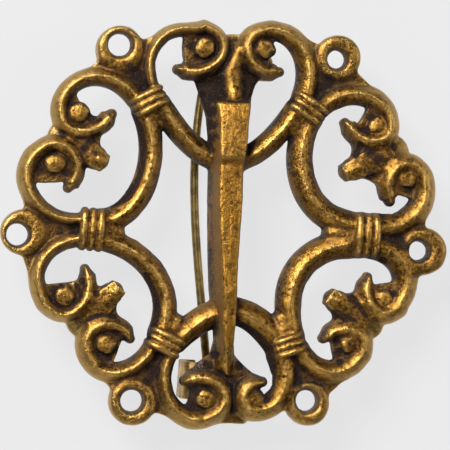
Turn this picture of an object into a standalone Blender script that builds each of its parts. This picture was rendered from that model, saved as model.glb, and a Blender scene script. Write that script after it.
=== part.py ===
"""Openwork fibula brooch: a cast brass plate of six scrolled lobes, a keel bow, and a hinged wire pin.

The brooch lies on its back with its face up. +X is to the right, +Y to the top of the brooch, +Z off its
face. The plate is laid out by its six collars, twelve scroll eyes and six pierced lugs, each measured on
its own, because the casting was made by hand and no two lobes match. All sizes are in metres.
"""

import math

import bmesh
import bpy
from mathutils import Matrix, Vector

MM = 0.001

# Heights above the flat back of the plate
STRAND_HEIGHT = 2.9 * MM
ARC_HEIGHT = 2.9 * MM
WEB_HEIGHT = 1.8 * MM
EYE_HEIGHT = 2.6 * MM
LEAF_HEIGHT = 2.5 * MM
LUG_HEIGHT = 2.3 * MM
LUG_WEB_HEIGHT = 1.8 * MM
NECK_HEIGHT = 2.7 * MM
PALMETTE_HEIGHT = 2.0 * MM
COLLAR_HEIGHT = 3.0 * MM
RIDGE_HEIGHT = 3.45 * MM
# Shapes start this far under the back, which is then cut flat in one plane
UNDERCUT = 0.5 * MM

# The back of the plate stands this far over the ground, on the hinge ears and the catch
BACK_Z = 6.2 * MM

# Scroll strands. The rows below give each one's own width; the curls were drawn for strands this wide
DRAWN_WIDTH = 2.4 * MM
STRAND_TIP_WIDTH = 1.9 * MM
STRAND_STEPS = 22
TAPER_TURN = 110.0
ARC_STEPS = 10
# Turning angles, in degrees from the collar, where a scroll settles to its curl radius
SETTLE_TURN = 170.0
BELLY_TURN = 130.0
TIP_TURN = 120.0
# Two strands leave a collar side by side
STRAND_OFFSET = 1.2 * MM
STRAND_SETBACK = 1.0 * MM
ARC_OFFSET = 1.1 * MM
ARC_SETBACK = 0.8 * MM

EYE_RADIUS = 1.2 * MM
EYE_TOP_RADIUS = 0.8 * MM
EYE_SIDES = 8
LUG_SIDES = 20
LUG_CHAMFER = 0.55 * MM
LUG_HOLE_SIDES = 16
LUG_HOLE_MOUTH = 0.5 * MM
# The necks inside the collars, before the arcs part: widths at the collar, halfway and at the fork
NECK_WIDTHS = (3.8 * MM, 3.2 * MM, 1.6 * MM)
NECK_SETBACK = 0.5 * MM
# Cutters reach this far past what they cut
CUT_REACH = 1.0 * MM
CUT_SIZE = 80.0 * MM
CUT_DEPTH = 4.0 * MM
DRILL_LENGTH = 30.0 * MM

# Collars: centre x, y, outward heading in degrees, half length and half width in mm
COLLARS = {
    "top_left": (-9.9, 15.1, 118.0, 1.3, 2.35),
    "top_right": (10.1, 14.7, 57.0, 1.3, 2.45),
    "right": (17.9, -0.9, -3.0, 1.6, 2.8),
    "low_right": (8.2, -14.8, -71.0, 1.3, 2.2),
    "low_left": (-7.2, -14.7, -116.0, 1.3, 2.35),
    "left": (-16.6, -0.9, 176.0, 1.5, 2.7),
}

# Lugs: centre x, y, outer radius, hole x, y and hole radius in mm
LUGS = {
    "top_left": (-13.6, 21.35, 2.95, -13.6, 21.95, 1.35),
    "top_right": (13.8, 21.2, 2.85, 13.6, 21.0, 1.15),
    "right": (25.2, -2.75, 3.05, 24.65, -2.7, 1.15),
    "low_right": (10.9, -22.05, 2.75, 10.75, -21.7, 1.3),
    "low_left": (-11.05, -22.1, 2.95, -11.15, -21.95, 1.35),
    "left": (-25.0, -1.45, 2.8, -25.7, -1.75, 1.3),
}

# How far each collar's neck reaches inwards, in mm
NECKS = {"top_left": 3.0, "top_right": 3.2, "right": 4.6, "low_right": 3.4, "low_left": 3.0, "left": 3.2}

# Scrolls: eye x, y, winding, curl radius, closing power, tip x, y, collar, belly, web start turn, web sag,
# strand width, width at the collar
SCROLLS = {
    "top_a": (-3.1, 21.9, -1, 2.0, 2.1, -5.8, 19.1, "top_left", 0.6, 85, -0.5, 1.75, 1.7),
    "top_b": (4.4, 22.0, 1, 2.2, 2.2, 6.0, 19.2, "top_right", 0.0, 85, 1.3, 2.45, 3.0),
    "right_a": (19.0, 12.7, -1, 1.7, 2.3, 15.3, 12.7, "top_right", 0.0, 60, 0.4, 2.6, 2.8),
    "right_b": (22.9, 6.5, 1, 1.9, 2.0, 20.8, 3.9, "right", 0.15, 65, 0.2, 2.75, 3.4),
    "low_right_a": (20.4, -9.0, -1, 1.9, 2.1, 18.2, -6.6, "right", 0.35, 60, 0.0, 3.0, 3.5),
    "low_right_b": (16.2, -14.5, 1, 1.8, 1.8, 13.2, -13.6, "low_right", 0.2, 60, -0.2, 2.95, 2.9),
    "low_b": (4.2, -21.5, -1, 1.7, 2.6, 4.7, -19.5, "low_right", 0.0, 75, 0.4, 2.9, 3.4),
    "low_a": (-1.9, -21.6, 1, 2.3, 1.8, -4.1, -19.3, "low_left", 0.0, 85, 0.3, 2.6, 2.1),
    "low_left_b": (-14.6, -15.0, -1, 2.5, 1.8, -11.8, -13.9, "low_left", -0.1, 80, 0.0, 2.6, 2.1),
    "low_left_a": (-19.8, -9.2, 1, 2.1, 1.9, -17.1, -6.3, "left", 0.2, 85, 0.1, 2.05, 2.0),
    "left_b": (-21.3, 7.1, -1, 2.4, 1.6, -19.3, 4.6, "left", 0.0, 85, -0.2, 2.3, 1.6),
    "left_a": (-18.6, 13.4, 1, 2.1, 1.9, -14.7, 13.0, "top_left", 0.1, 85, 1.0, 2.2, 2.6),
}

# Inner arcs: two collars, the two handle lengths in mm, the two splay angles in degrees, the two widths in mm
ARCS = (
    ("top_left", "left", 6.7, 4.8, 2.0, 2.0, 2.9, 3.1),
    ("left", "low_left", 6.2, 5.8, 3.0, 4.0, 2.8, 2.9),
    ("low_left", "low_right", 7.3, 6.3, 20.0, 20.0, 3.1, 3.8),
    ("low_right", "right", 7.9, 6.1, 0.0, 3.0, 3.1, 3.7),
    ("right", "top_right", 8.1, 4.8, 0.0, 0.0, 3.5, 3.1),
    ("top_right", "top_left", 11.2, 10.5, 0.0, 5.0, 2.9, 2.8),
)

# Middle leaves of the four side palmettes: tip x, y in mm and the two scrolls that they grow between
LEAVES = {
    "left": (-15.0, 7.1, "left_a", "left_b"),
    "right": (14.7, 6.7, "right_a", "right_b"),
    "low_right": (13.2, -8.5, "low_right_a", "low_right_b"),
    "low_left": (-12.9, -7.8, "low_left_a", "low_left_b"),
}
LEAF_HALF_WIDTH = 1.3 * MM
LEAF_BASE_HALF_WIDTH = 2.3 * MM
# How far out the palmette's floor comes along its middle leaf, as a share of the leaf
PALMETTE_REACH = 0.84

# Bow stations: y, left and right edge of its foot, left and right edge of its front facet, height, in mm
BOW = (
    (23.7, -0.3, 1.9, 0.0, 1.6, 1.4),
    (22.0, -2.4, 3.6, -2.0, 3.2, 1.4),
    (19.0, -4.5, 4.6, -3.8, 4.0, 1.3),
    (17.5, -4.0, 3.6, -3.2, 3.0, 1.2),
    (15.9, -3.4, 3.1, -2.4, 2.5, 1.4),
    (15.0, -3.05, 2.95, -1.6, 2.3, 4.6),
    (13.4, -2.6, 2.75, -1.35, 2.25, 5.0),
    (11.0, -2.3, 2.55, -1.3, 2.05, 5.2),
    (8.4, -2.2, 2.35, -1.25, 1.75, 5.4),
    (7.6, -2.15, 2.2, -1.2, 1.6, 4.6),
    (3.0, -2.15, 2.1, -1.25, 1.55, 4.7),
    (-4.3, -1.95, 1.8, -0.7, 1.3, 4.6),
    (-8.0, -1.75, 1.65, -0.4, 1.25, 4.6),
    (-12.4, -1.15, 1.5, -0.3, 1.2, 4.2),
    (-14.4, -1.0, 1.45, -0.2, 1.1, 3.9),
    (-16.1, -1.4, 1.6, 0.0, 1.0, 3.3),
    (-17.3, -3.1, 2.8, -0.3, 1.2, 2.5),
    (-18.8, -4.1, 4.5, -1.4, 2.6, 1.5),
    (-21.0, -3.7, 4.6, -2.8, 3.6, 1.4),
    (-24.7, -1.2, 3.4, -0.6, 2.8, 1.6),
)
BOW_SHOULDER = 0.3

# Pin wire and its hinge
WIRE_RADIUS = 0.53 * MM
RIVET_RADIUS = 0.6 * MM
RIVET_HEAD_RADIUS = 1.1 * MM
RIVET_HEAD = 0.5 * MM
COIL_CLEARANCE = 0.15 * MM
HOLE_CLEARANCE = 0.12 * MM
TOUCH_GAP = 0.3 * MM
COIL_TURNS = 5
COIL_PITCH = 1.14 * MM
SHEET = 0.7 * MM
HINGE_Y = 20.4 * MM
PIN_TOP_X = -1.6 * MM
EAR_RADIUS = 2.1 * MM
EAR_HALF_BASE = 2.1 * MM
COIL_SIDE_PLAY = 0.25 * MM
SHANK_SIDE_PLAY = 0.85 * MM

# Pin shank, as a curve from the coil to the tip: sideways and backward swing of its two handles
PIN_TIP = (-0.7 * MM, -21.2 * MM)
PIN_HANDLES_X = (-4.9 * MM, -1.75 * MM)
PIN_HANDLE_Z = 0.0 * MM
PIN_TIP_RISE = 0.55 * MM
PIN_POINT_LENGTH = 4.0 * MM
PIN_STEPS = 18
WIRE_SIDES = 8
COIL_STEPS_PER_TURN = 10

# Catch: a strip folded into a C that is open to the right
CATCH_TOP_Y = -17.1 * MM
CATCH_LENGTH = 4.7 * MM
CATCH_SHEET = 0.7 * MM
CATCH_LEFT_X = -4.6 * MM
CATCH_FLANGE_X = -0.9 * MM
CATCH_LIP_X = -2.35 * MM
CATCH_BEND = 1.1 * MM
CATCH_TURN = 3.0

HINGE_Z = -(BACK_Z - EAR_RADIUS)
COIL_RADIUS = RIVET_RADIUS + COIL_CLEARANCE + WIRE_RADIUS
COIL_WIDTH = COIL_TURNS * COIL_PITCH + 2 * WIRE_RADIUS
EAR_LEFT_INNER = PIN_TOP_X - WIRE_RADIUS - SHANK_SIDE_PLAY
EAR_RIGHT_INNER = PIN_TOP_X - WIRE_RADIUS + COIL_WIDTH + COIL_SIDE_PLAY

BRASS = ((0.30, 0.19, 0.065, 1.0), 0.42)
SHEET_BRASS = ((0.34, 0.23, 0.11, 1.0), 0.48)
WIRE_BRASS = ((0.25, 0.18, 0.08, 1.0), 0.38)


def clear_scene():
    for obj in list(bpy.data.objects):
        bpy.data.objects.remove(obj, do_unlink=True)


def material(name, finish):
    colour, roughness = finish
    made = bpy.data.materials.new(name)
    made.use_nodes = True
    shader = made.node_tree.nodes["Principled BSDF"]
    shader.inputs["Base Color"].default_value = colour
    shader.inputs["Roughness"].default_value = roughness
    shader.inputs["Metallic"].default_value = 1.0
    made.diffuse_color = colour
    return made


def add_object(name, bm, finish=None, helper=False):
    bmesh.ops.recalc_face_normals(bm, faces=bm.faces)
    if bm.calc_volume(signed=True) < 0:
        bmesh.ops.reverse_faces(bm, faces=bm.faces)
    mesh = bpy.data.meshes.new(name)
    bm.to_mesh(mesh)
    bm.free()
    obj = bpy.data.objects.new(name, mesh)
    bpy.context.scene.collection.objects.link(obj)
    if finish is not None:
        mesh.materials.append(finish)
    if helper:
        obj.hide_render = True
        obj.display_type = "WIRE"
    return obj


def unit(degrees):
    angle = math.radians(degrees)
    return Vector((math.cos(angle), math.sin(angle)))


def heading(vector):
    return math.degrees(math.atan2(vector.y, vector.x))


def side_of(collar, point):
    """+1 or -1: on which side of the collar's axis the point lies."""
    axis = unit(collar[2])
    across = Vector((-axis.y, axis.x))
    away = point - Vector(collar[:2]) * MM
    return 1.0 if away.dot(across) > 0 else -1.0


class Scroll:
    """The centre line of one scroll, wound round its eye from a collar to a leaf tip."""

    def __init__(self, row):
        self.eye = Vector(row[:2]) * MM
        self.winding = row[2]
        self.curl = row[3] * MM
        self.power = row[4]
        self.tip = Vector(row[5:7]) * MM
        self.collar = COLLARS[row[7]]
        self.belly = row[8] * MM
        self.web_turn = row[9]
        self.web_sag = row[10] * MM
        self.broad = row[11] * MM
        self.start_width = row[12] * MM
        axis = unit(self.collar[2])
        across = Vector((-axis.y, axis.x)) * side_of(self.collar, self.eye)
        foot = Vector(self.collar[:2]) * MM + axis * STRAND_SETBACK + across * STRAND_OFFSET
        self.start = heading(foot - self.eye)
        self.reach = (foot - self.eye).length
        self.tip_radius = (self.tip - self.eye).length
        self.turn = (self.winding * (heading(self.tip - self.eye) - self.start)) % 360.0
        if self.turn < 180.0:
            self.turn += 360.0

    def radius(self, turn):
        radius = self.curl
        if turn < SETTLE_TURN:
            part = (SETTLE_TURN - turn) / SETTLE_TURN
            radius += (self.reach - self.curl) * part**self.power
        if turn < BELLY_TURN:
            radius += self.belly * math.sin(2.0 * math.pi * turn / BELLY_TURN)
        flare_start = self.turn - TIP_TURN
        if turn > flare_start:
            part = (turn - flare_start) / TIP_TURN
            radius += (self.tip_radius - self.curl) * part**2.5
        ends = min(1.0, turn / 60.0) * min(1.0, max(0.0, (self.turn - turn) / TAPER_TURN))
        return radius - ends * (self.broad - DRAWN_WIDTH) / 2.0

    def at(self, turn):
        return self.eye + unit(self.start + self.winding * turn) * self.radius(turn)

    def width(self, turn):
        if turn < 90.0:
            return self.start_width + (self.broad - self.start_width) * turn / 90.0
        taper_start = self.turn - TAPER_TURN
        if turn > taper_start:
            part = (turn - taper_start) / TAPER_TURN
            return self.broad + (STRAND_TIP_WIDTH - self.broad) * part**1.5
        return self.broad

    def rim(self, turn):
        """A place near the strand's outer edge after a turn."""
        return self.eye + unit(self.start + self.winding * turn) * (self.radius(turn) + self.broad * 0.3)

    def line(self):
        turns = [self.turn * i / STRAND_STEPS for i in range(STRAND_STEPS + 1)]
        return [(self.at(turn), self.width(turn)) for turn in turns]

    def web(self):
        """Outline of the floor inside the curl, closed by a sagging edge from the tip to the strand."""
        steps = 12
        span = self.turn - self.web_turn
        outline = [self.at(self.web_turn + span * i / steps) for i in range(steps + 1)]
        first = outline[0]
        last = outline[-1]
        inward = (self.eye - (first + last) / 2.0).normalized()
        for i in range(1, 4):
            part = i / 4.0
            sag = self.web_sag * 4.0 * part * (1.0 - part)
            outline.append(last.lerp(first, part) + inward * sag)
        return outline


def strand_section(width, height):
    """Half-round casting section: upright foot, sloping sides and a narrow worn crest."""
    half = width / 2.0
    return (
        (-half, -UNDERCUT),
        (half, -UNDERCUT),
        (half, height * 0.5),
        (half * 0.5, height),
        (-half * 0.5, height),
        (-half, height * 0.5),
    )


def sweep(line, section_at):
    """A closed solid along a flat line of (point, width). section_at gives the profile for a width."""
    bm = bmesh.new()
    rings = []
    count = len(line)
    for i, (point, width) in enumerate(line):
        before = line[max(i - 1, 0)][0]
        after = line[min(i + 1, count - 1)][0]
        along = (after - before).normalized()
        across = Vector((-along.y, along.x))
        ring = []
        for offset, height in section_at(width):
            place = point + across * offset
            ring.append(bm.verts.new((place.x, place.y, height)))
        rings.append(ring)
    for near, far in zip(rings, rings[1:]):
        for i in range(len(near)):
            j = (i + 1) % len(near)
            bm.faces.new((near[i], near[j], far[j], far[i]))
    bm.faces.new(rings[0])
    bm.faces.new(reversed(rings[-1]))
    return bm


def prism(outline, bottom, top, inset=0.0):
    """A flat plate of the outline. The inset narrows its top towards the middle."""
    bm = bmesh.new()
    middle = sum(outline, Vector((0.0, 0.0))) / len(outline)
    low = []
    high = []
    for point in outline:
        away = point - middle
        shrunk = middle + away * max(0.0, 1.0 - inset / max(away.length, 1e-6))
        low.append(bm.verts.new((point.x, point.y, bottom)))
        high.append(bm.verts.new((shrunk.x, shrunk.y, top)))
    for i in range(len(outline)):
        j = (i + 1) % len(outline)
        bm.faces.new((low[i], low[j], high[j], high[i]))
    bm.faces.new(low)
    bm.faces.new(reversed(high))
    return bm


def turned(centre, steps, sides):
    """A round solid on an upright axis. steps are (radius, height) from its foot to its top."""
    bm = bmesh.new()
    rings = []
    for radius, height in steps:
        ring = []
        for i in range(sides):
            place = centre + unit(360.0 * (i + 0.5) / sides) * radius
            ring.append(bm.verts.new((place.x, place.y, height)))
        rings.append(ring)
    for near, far in zip(rings, rings[1:]):
        for i in range(sides):
            j = (i + 1) % sides
            bm.faces.new((near[i], near[j], far[j], far[i]))
    bm.faces.new(rings[0])
    bm.faces.new(reversed(rings[-1]))
    return bm


def arc_line(row):
    """An inner arc: a cubic curve that leaves both collars beside their axes."""
    first = COLLARS[row[0]]
    last = COLLARS[row[1]]

    def end(collar, other, handle, splay):
        centre = Vector(collar[:2]) * MM
        inward = -unit(collar[2])
        across = Vector((-inward.y, inward.x))
        side = 1.0 if (Vector(other[:2]) * MM - centre).dot(across) > 0 else -1.0
        start = centre + inward * ARC_SETBACK + across * side * ARC_OFFSET
        return start, start + unit(collar[2] + 180.0 + side * splay) * handle * MM

    a, b = end(first, last, row[2], row[4])
    d, c = end(last, first, row[3], row[5])
    line = []
    for i in range(ARC_STEPS + 1):
        t = i / ARC_STEPS
        s = 1.0 - t
        point = a * s**3 + b * 3 * s * s * t + c * 3 * s * t * t + d * t**3
        line.append((point, (row[6] * s + row[7] * t) * MM))
    return line


def collar_hoop(collar, offset, length, half_width, height):
    """One hoop round the bundled strands. Its long edges are chamfered."""
    centre = Vector(collar[:2]) * MM
    axis = unit(collar[2])
    across = Vector((-axis.y, axis.x))
    outline = (
        (-half_width, -UNDERCUT),
        (half_width, -UNDERCUT),
        (half_width, height * 0.62),
        (half_width * 0.62, height),
        (-half_width * 0.62, height),
        (-half_width, height * 0.62),
    )
    chamfer = 0.8
    bm = bmesh.new()
    rings = []
    for along, scale in ((-0.5, chamfer), (-0.22, 1.0), (0.22, 1.0), (0.5, chamfer)):
        ring = []
        for x, z in outline:
            rise = z if z < 0 else z * (1.0 - 0.5 * (1.0 - scale))
            place = centre + axis * (offset + along * length) + across * x * (0.5 + 0.5 * scale)
            ring.append(bm.verts.new((place.x, place.y, rise)))
        rings.append(ring)
    for near, far in zip(rings, rings[1:]):
        for i in range(len(near)):
            j = (i + 1) % len(near)
            bm.faces.new((near[i], near[j], far[j], far[i]))
    bm.faces.new(rings[0])
    bm.faces.new(reversed(rings[-1]))
    return bm


def bow_solid():
    bm = bmesh.new()
    rings = []
    for y, foot_left, foot_right, front_left, front_right, height in BOW:
        shoulder = height * BOW_SHOULDER
        outline = (
            (foot_left, -UNDERCUT / MM),
            (foot_right, -UNDERCUT / MM),
            (foot_right, shoulder),
            (front_right, height),
            (front_left, height),
            (foot_left, shoulder),
        )
        ring = [bm.verts.new((x * MM, y * MM, z * MM)) for x, z in outline]
        rings.append(ring)
    for near, far in zip(rings, rings[1:]):
        for i in range(len(near)):
            j = (i + 1) % len(near)
            bm.faces.new((near[i], near[j], far[j], far[i]))
    bm.faces.new(rings[0])
    bm.faces.new(reversed(rings[-1]))
    return bm


def leaf_solid(row, scrolls):
    tip = Vector(row[:2]) * MM
    root = (scrolls[row[2]].eye + scrolls[row[3]].eye) / 2.0
    along = (tip - root).normalized()
    across = Vector((-along.y, along.x))
    reach = (tip - root).length
    stations = (
        (0.0, LEAF_BASE_HALF_WIDTH, 0.75),
        (reach * 0.45, LEAF_BASE_HALF_WIDTH * 0.85, 0.8),
        (reach - 1.5 * MM, LEAF_HALF_WIDTH * 1.05, 0.95),
        (reach - 0.5 * MM, LEAF_HALF_WIDTH * 0.8, 1.0),
        (reach, LEAF_HALF_WIDTH * 0.3, 0.85),
    )
    bm = bmesh.new()
    rings = []
    for distance, half, rise in stations:
        point = root + along * distance
        top = LEAF_HEIGHT * rise
        outline = (
            (-half, -UNDERCUT),
            (half, -UNDERCUT),
            (half, top * 0.6),
            (half * 0.35, top),
            (-half * 0.35, top),
            (-half, top * 0.6),
        )
        ring = []
        for x, z in outline:
            place = point + across * x
            ring.append(bm.verts.new((place.x, place.y, z)))
        rings.append(ring)
    for near, far in zip(rings, rings[1:]):
        for i in range(len(near)):
            j = (i + 1) % len(near)
            bm.faces.new((near[i], near[j], far[j], far[i]))
    bm.faces.new(rings[0])
    bm.faces.new(reversed(rings[-1]))
    return bm


def palmette_floor(row, scrolls):
    """Outline of the low floor between two scroll tips and the leaf."""
    first = scrolls[row[2]]
    last = scrolls[row[3]]
    root = (first.eye + last.eye) / 2.0
    middle = root + (Vector(row[:2]) * MM - root) * PALMETTE_REACH
    return (first.eye, first.tip, middle, last.tip, last.eye)


def neck_line(collar, reach):
    """Middle of a collar's neck, with its widths."""
    centre = Vector(collar[:2]) * MM
    inward = -unit(collar[2])
    places = (NECK_SETBACK, reach * 0.6 * MM, reach * MM)
    return [(centre + inward * place, width) for place, width in zip(places, NECK_WIDTHS)]


def lug_web(collar, lug, near):
    """Outline of the floor between a collar, its two scrolls and its lug."""
    axis = unit(collar[2])
    across = Vector((-axis.y, axis.x)) * lug[2] * 0.85 * MM
    centre = Vector(lug[:2]) * MM
    outer = Vector(collar[:2]) * MM + axis * collar[3] * MM
    first = (near[0].at(45.0), near[0].rim(100.0), centre - across)
    last = (centre + across, near[1].rim(100.0), near[1].at(45.0))
    return (outer, *first, centre, *last)


def boolean(obj, others, operation):
    group = bpy.data.collections.new(obj.name + "_" + operation.lower())
    for other in others:
        group.objects.link(other)
    modifier = obj.modifiers.new(operation.title(), "BOOLEAN")
    modifier.operation = operation
    modifier.solver = "EXACT"
    modifier.operand_type = "COLLECTION"
    modifier.collection = group


def apply_modifiers(obj):
    graph = bpy.context.evaluated_depsgraph_get()
    mesh = bpy.data.meshes.new_from_object(obj.evaluated_get(graph))
    obj.modifiers.clear()
    obj.data = mesh


def build_plate(finish):
    scrolls = {name: Scroll(row) for name, row in SCROLLS.items()}
    pieces = []

    def piece(name, bm):
        pieces.append(add_object("piece_" + name, bm, helper=True))

    for name, scroll in scrolls.items():
        piece(name, sweep(scroll.line(), lambda width: strand_section(width, STRAND_HEIGHT)))
        piece(name + "_web", prism(scroll.web(), -UNDERCUT, WEB_HEIGHT))
        eye = ((EYE_RADIUS, -UNDERCUT), (EYE_RADIUS, WEB_HEIGHT), (EYE_TOP_RADIUS, EYE_HEIGHT))
        piece(name + "_eye", turned(scroll.eye, eye, EYE_SIDES))
    for i, row in enumerate(ARCS):
        piece("arc_%d" % i, sweep(arc_line(row), lambda width: strand_section(width, ARC_HEIGHT)))
    for name, row in LEAVES.items():
        piece("leaf_" + name, leaf_solid(row, scrolls))
        piece("floor_" + name, prism(palmette_floor(row, scrolls), -UNDERCUT, PALMETTE_HEIGHT))
    for name, collar in COLLARS.items():
        half_length = collar[3] * MM
        half_width = collar[4] * MM
        ridge = 2.0 * half_length / 3.0
        piece("collar_" + name, collar_hoop(collar, 0.0, 2.2 * half_length, half_width * 0.93, COLLAR_HEIGHT))
        for k in (-1, 0, 1):
            piece("ridge_%s_%d" % (name, k), collar_hoop(collar, k * ridge, ridge * 0.86, half_width, RIDGE_HEIGHT))
        lug = LUGS[name]
        lug_centre = Vector(lug[:2]) * MM
        near = [s for s in scrolls.values() if s.collar is collar]
        near.sort(key=lambda s: side_of(collar, s.eye))
        piece("lug_web_" + name, prism(lug_web(collar, lug, near), -UNDERCUT, LUG_WEB_HEIGHT))
        neck = sweep(neck_line(collar, NECKS[name]), lambda width: strand_section(width, NECK_HEIGHT))
        piece("neck_" + name, neck)
        radius = lug[2] * MM
        ring = (
            (radius, -UNDERCUT),
            (radius, LUG_HEIGHT * 0.6),
            (radius - LUG_CHAMFER, LUG_HEIGHT),
        )
        piece("lug_" + name, turned(lug_centre, ring, LUG_SIDES))

    body = add_object("brooch_body", bow_solid(), finish)
    boolean(body, pieces, "UNION")
    apply_modifiers(body)

    cutters = []
    for name, lug in LUGS.items():
        centre = Vector(lug[3:5]) * MM
        radius = lug[5] * MM
        mouth = (radius + LUG_HOLE_MOUTH, LUG_HEIGHT + CUT_REACH)
        steps = ((radius, -CUT_REACH), (radius, LUG_HEIGHT * 0.55), mouth)
        cutters.append(add_object("cut_lug_" + name, turned(centre, steps, LUG_HOLE_SIDES), helper=True))
    under = bmesh.new()
    bmesh.ops.create_cube(under, size=1.0)
    bmesh.ops.scale(under, verts=under.verts, vec=(CUT_SIZE, CUT_SIZE, CUT_DEPTH))
    bmesh.ops.translate(under, verts=under.verts, vec=(0.0, 0.0, -CUT_DEPTH / 2.0))
    cutters.append(add_object("cut_back", under, helper=True))
    boolean(body, cutters, "DIFFERENCE")
    apply_modifiers(body)
    for helper in pieces + cutters:
        bpy.data.objects.remove(helper, do_unlink=True)
    body.location.z = BACK_Z
    return body


def wire(points, radii, sides):
    """A round wire through points in space, with its frame carried along without twist."""
    bm = bmesh.new()
    rings = []
    normal = None
    for i, point in enumerate(points):
        along = (points[min(i + 1, len(points) - 1)] - points[max(i - 1, 0)]).normalized()
        if normal is None:
            normal = along.orthogonal().normalized()
        normal = (normal - along * normal.dot(along)).normalized()
        other = along.cross(normal)
        ring = []
        for k in range(sides):
            angle = 2.0 * math.pi * k / sides
            offset = normal * math.cos(angle) + other * math.sin(angle)
            ring.append(bm.verts.new(point + offset * radii[i]))
        rings.append(ring)
    for near, far in zip(rings, rings[1:]):
        for i in range(sides):
            j = (i + 1) % sides
            bm.faces.new((near[i], near[j], far[j], far[i]))
    bm.faces.new(rings[0])
    bm.faces.new(reversed(rings[-1]))
    return bm


def pin_path():
    """Coil round the rivet from its right end to its left, then the shank down to the tip."""
    points = []
    radii = []
    per_turn = COIL_STEPS_PER_TURN
    steps = COIL_TURNS * per_turn
    for i in range(steps + 1):
        angle = 2.0 * math.pi * (i - steps) / per_turn - math.pi / 2.0
        x = PIN_TOP_X + COIL_PITCH * (steps - i) / per_turn
        y = HINGE_Y - COIL_RADIUS * math.cos(angle)
        z = HINGE_Z + COIL_RADIUS * math.sin(angle)
        points.append(Vector((x, y, z)))
        radii.append(WIRE_RADIUS)
    start = points[-1]
    tip = Vector((PIN_TIP[0], PIN_TIP[1], start.z + PIN_TIP_RISE))
    third = (tip.y - start.y) / 3.0
    a = Vector((PIN_HANDLES_X[0], start.y + third, start.z - PIN_HANDLE_Z))
    b = Vector((PIN_HANDLES_X[1], tip.y - third, start.z - PIN_HANDLE_Z))
    for i in range(1, PIN_STEPS + 1):
        t = i / PIN_STEPS
        s = 1.0 - t
        point = start * s**3 + a * 3 * s * s * t + b * 3 * s * t * t + tip * t**3
        points.append(point)
        left = (tip - point).length
        radii.append(WIRE_RADIUS * max(0.12, min(1.0, left / PIN_POINT_LENGTH) ** 0.7))
    return points, radii


def build_pin(finish):
    points, radii = pin_path()
    obj = add_object("pin", wire(points, radii, WIRE_SIDES), finish)
    pivot = Vector((0.0, HINGE_Y, HINGE_Z))
    obj.data.transform(Matrix.Translation(-pivot))
    obj.location = pivot + Vector((0.0, 0.0, BACK_Z))
    return obj


def build_rivet(finish):
    bm = bmesh.new()
    left = EAR_LEFT_INNER - SHEET - TOUCH_GAP
    right = EAR_RIGHT_INNER + SHEET + TOUCH_GAP
    steps = (
        (left - RIVET_HEAD, RIVET_HEAD_RADIUS * 0.6),
        (left - RIVET_HEAD * 0.5, RIVET_HEAD_RADIUS),
        (left, RIVET_HEAD_RADIUS),
        (left, RIVET_RADIUS),
        (right, RIVET_RADIUS),
        (right, RIVET_HEAD_RADIUS),
        (right + RIVET_HEAD * 0.5, RIVET_HEAD_RADIUS),
        (right + RIVET_HEAD, RIVET_HEAD_RADIUS * 0.6),
    )
    sides = 16
    rings = []
    for x, radius in steps:
        ring = []
        for k in range(sides):
            angle = 2.0 * math.pi * k / sides
            y = HINGE_Y + radius * math.cos(angle)
            z = HINGE_Z + radius * math.sin(angle)
            ring.append(bm.verts.new((x, y, z)))
        rings.append(ring)
    for near, far in zip(rings, rings[1:]):
        for i in range(sides):
            j = (i + 1) % sides
            bm.faces.new((near[i], near[j], far[j], far[i]))
    bm.faces.new(rings[0])
    bm.faces.new(reversed(rings[-1]))
    obj = add_object("hinge_rivet", bm, finish)
    obj.location.z = BACK_Z
    return obj


def ear_outline():
    """Side view of an ear, as (y, z): straight from the base, then round about the rivet."""
    outline = [(HINGE_Y - EAR_HALF_BASE, -TOUCH_GAP - SHEET), (HINGE_Y - EAR_RADIUS, HINGE_Z)]
    steps = 9
    for i in range(1, steps):
        angle = math.pi + math.pi * i / steps
        outline.append((HINGE_Y + EAR_RADIUS * math.cos(angle), HINGE_Z + EAR_RADIUS * math.sin(angle)))
    outline += [(HINGE_Y + EAR_RADIUS, HINGE_Z), (HINGE_Y + EAR_HALF_BASE, -TOUCH_GAP - SHEET)]
    outline += [(HINGE_Y + EAR_HALF_BASE, -TOUCH_GAP), (HINGE_Y - EAR_HALF_BASE, -TOUCH_GAP)]
    return outline


def ear_solid(x0, x1):
    bm = bmesh.new()
    sides = []
    for x in (x0, x1):
        sides.append([bm.verts.new((x, y, z)) for y, z in ear_outline()])
    count = len(sides[0])
    for i in range(count):
        j = (i + 1) % count
        bm.faces.new((sides[0][i], sides[0][j], sides[1][j], sides[1][i]))
    bm.faces.new(sides[0])
    bm.faces.new(reversed(sides[1]))
    return bm


def box(x0, x1, y0, y1, z0, z1):
    bm = bmesh.new()
    bmesh.ops.create_cube(bm, size=1.0)
    bmesh.ops.scale(bm, verts=bm.verts, vec=(x1 - x0, y1 - y0, z1 - z0))
    bmesh.ops.translate(bm, verts=bm.verts, vec=((x0 + x1) / 2, (y0 + y1) / 2, (z0 + z1) / 2))
    return bm


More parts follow.
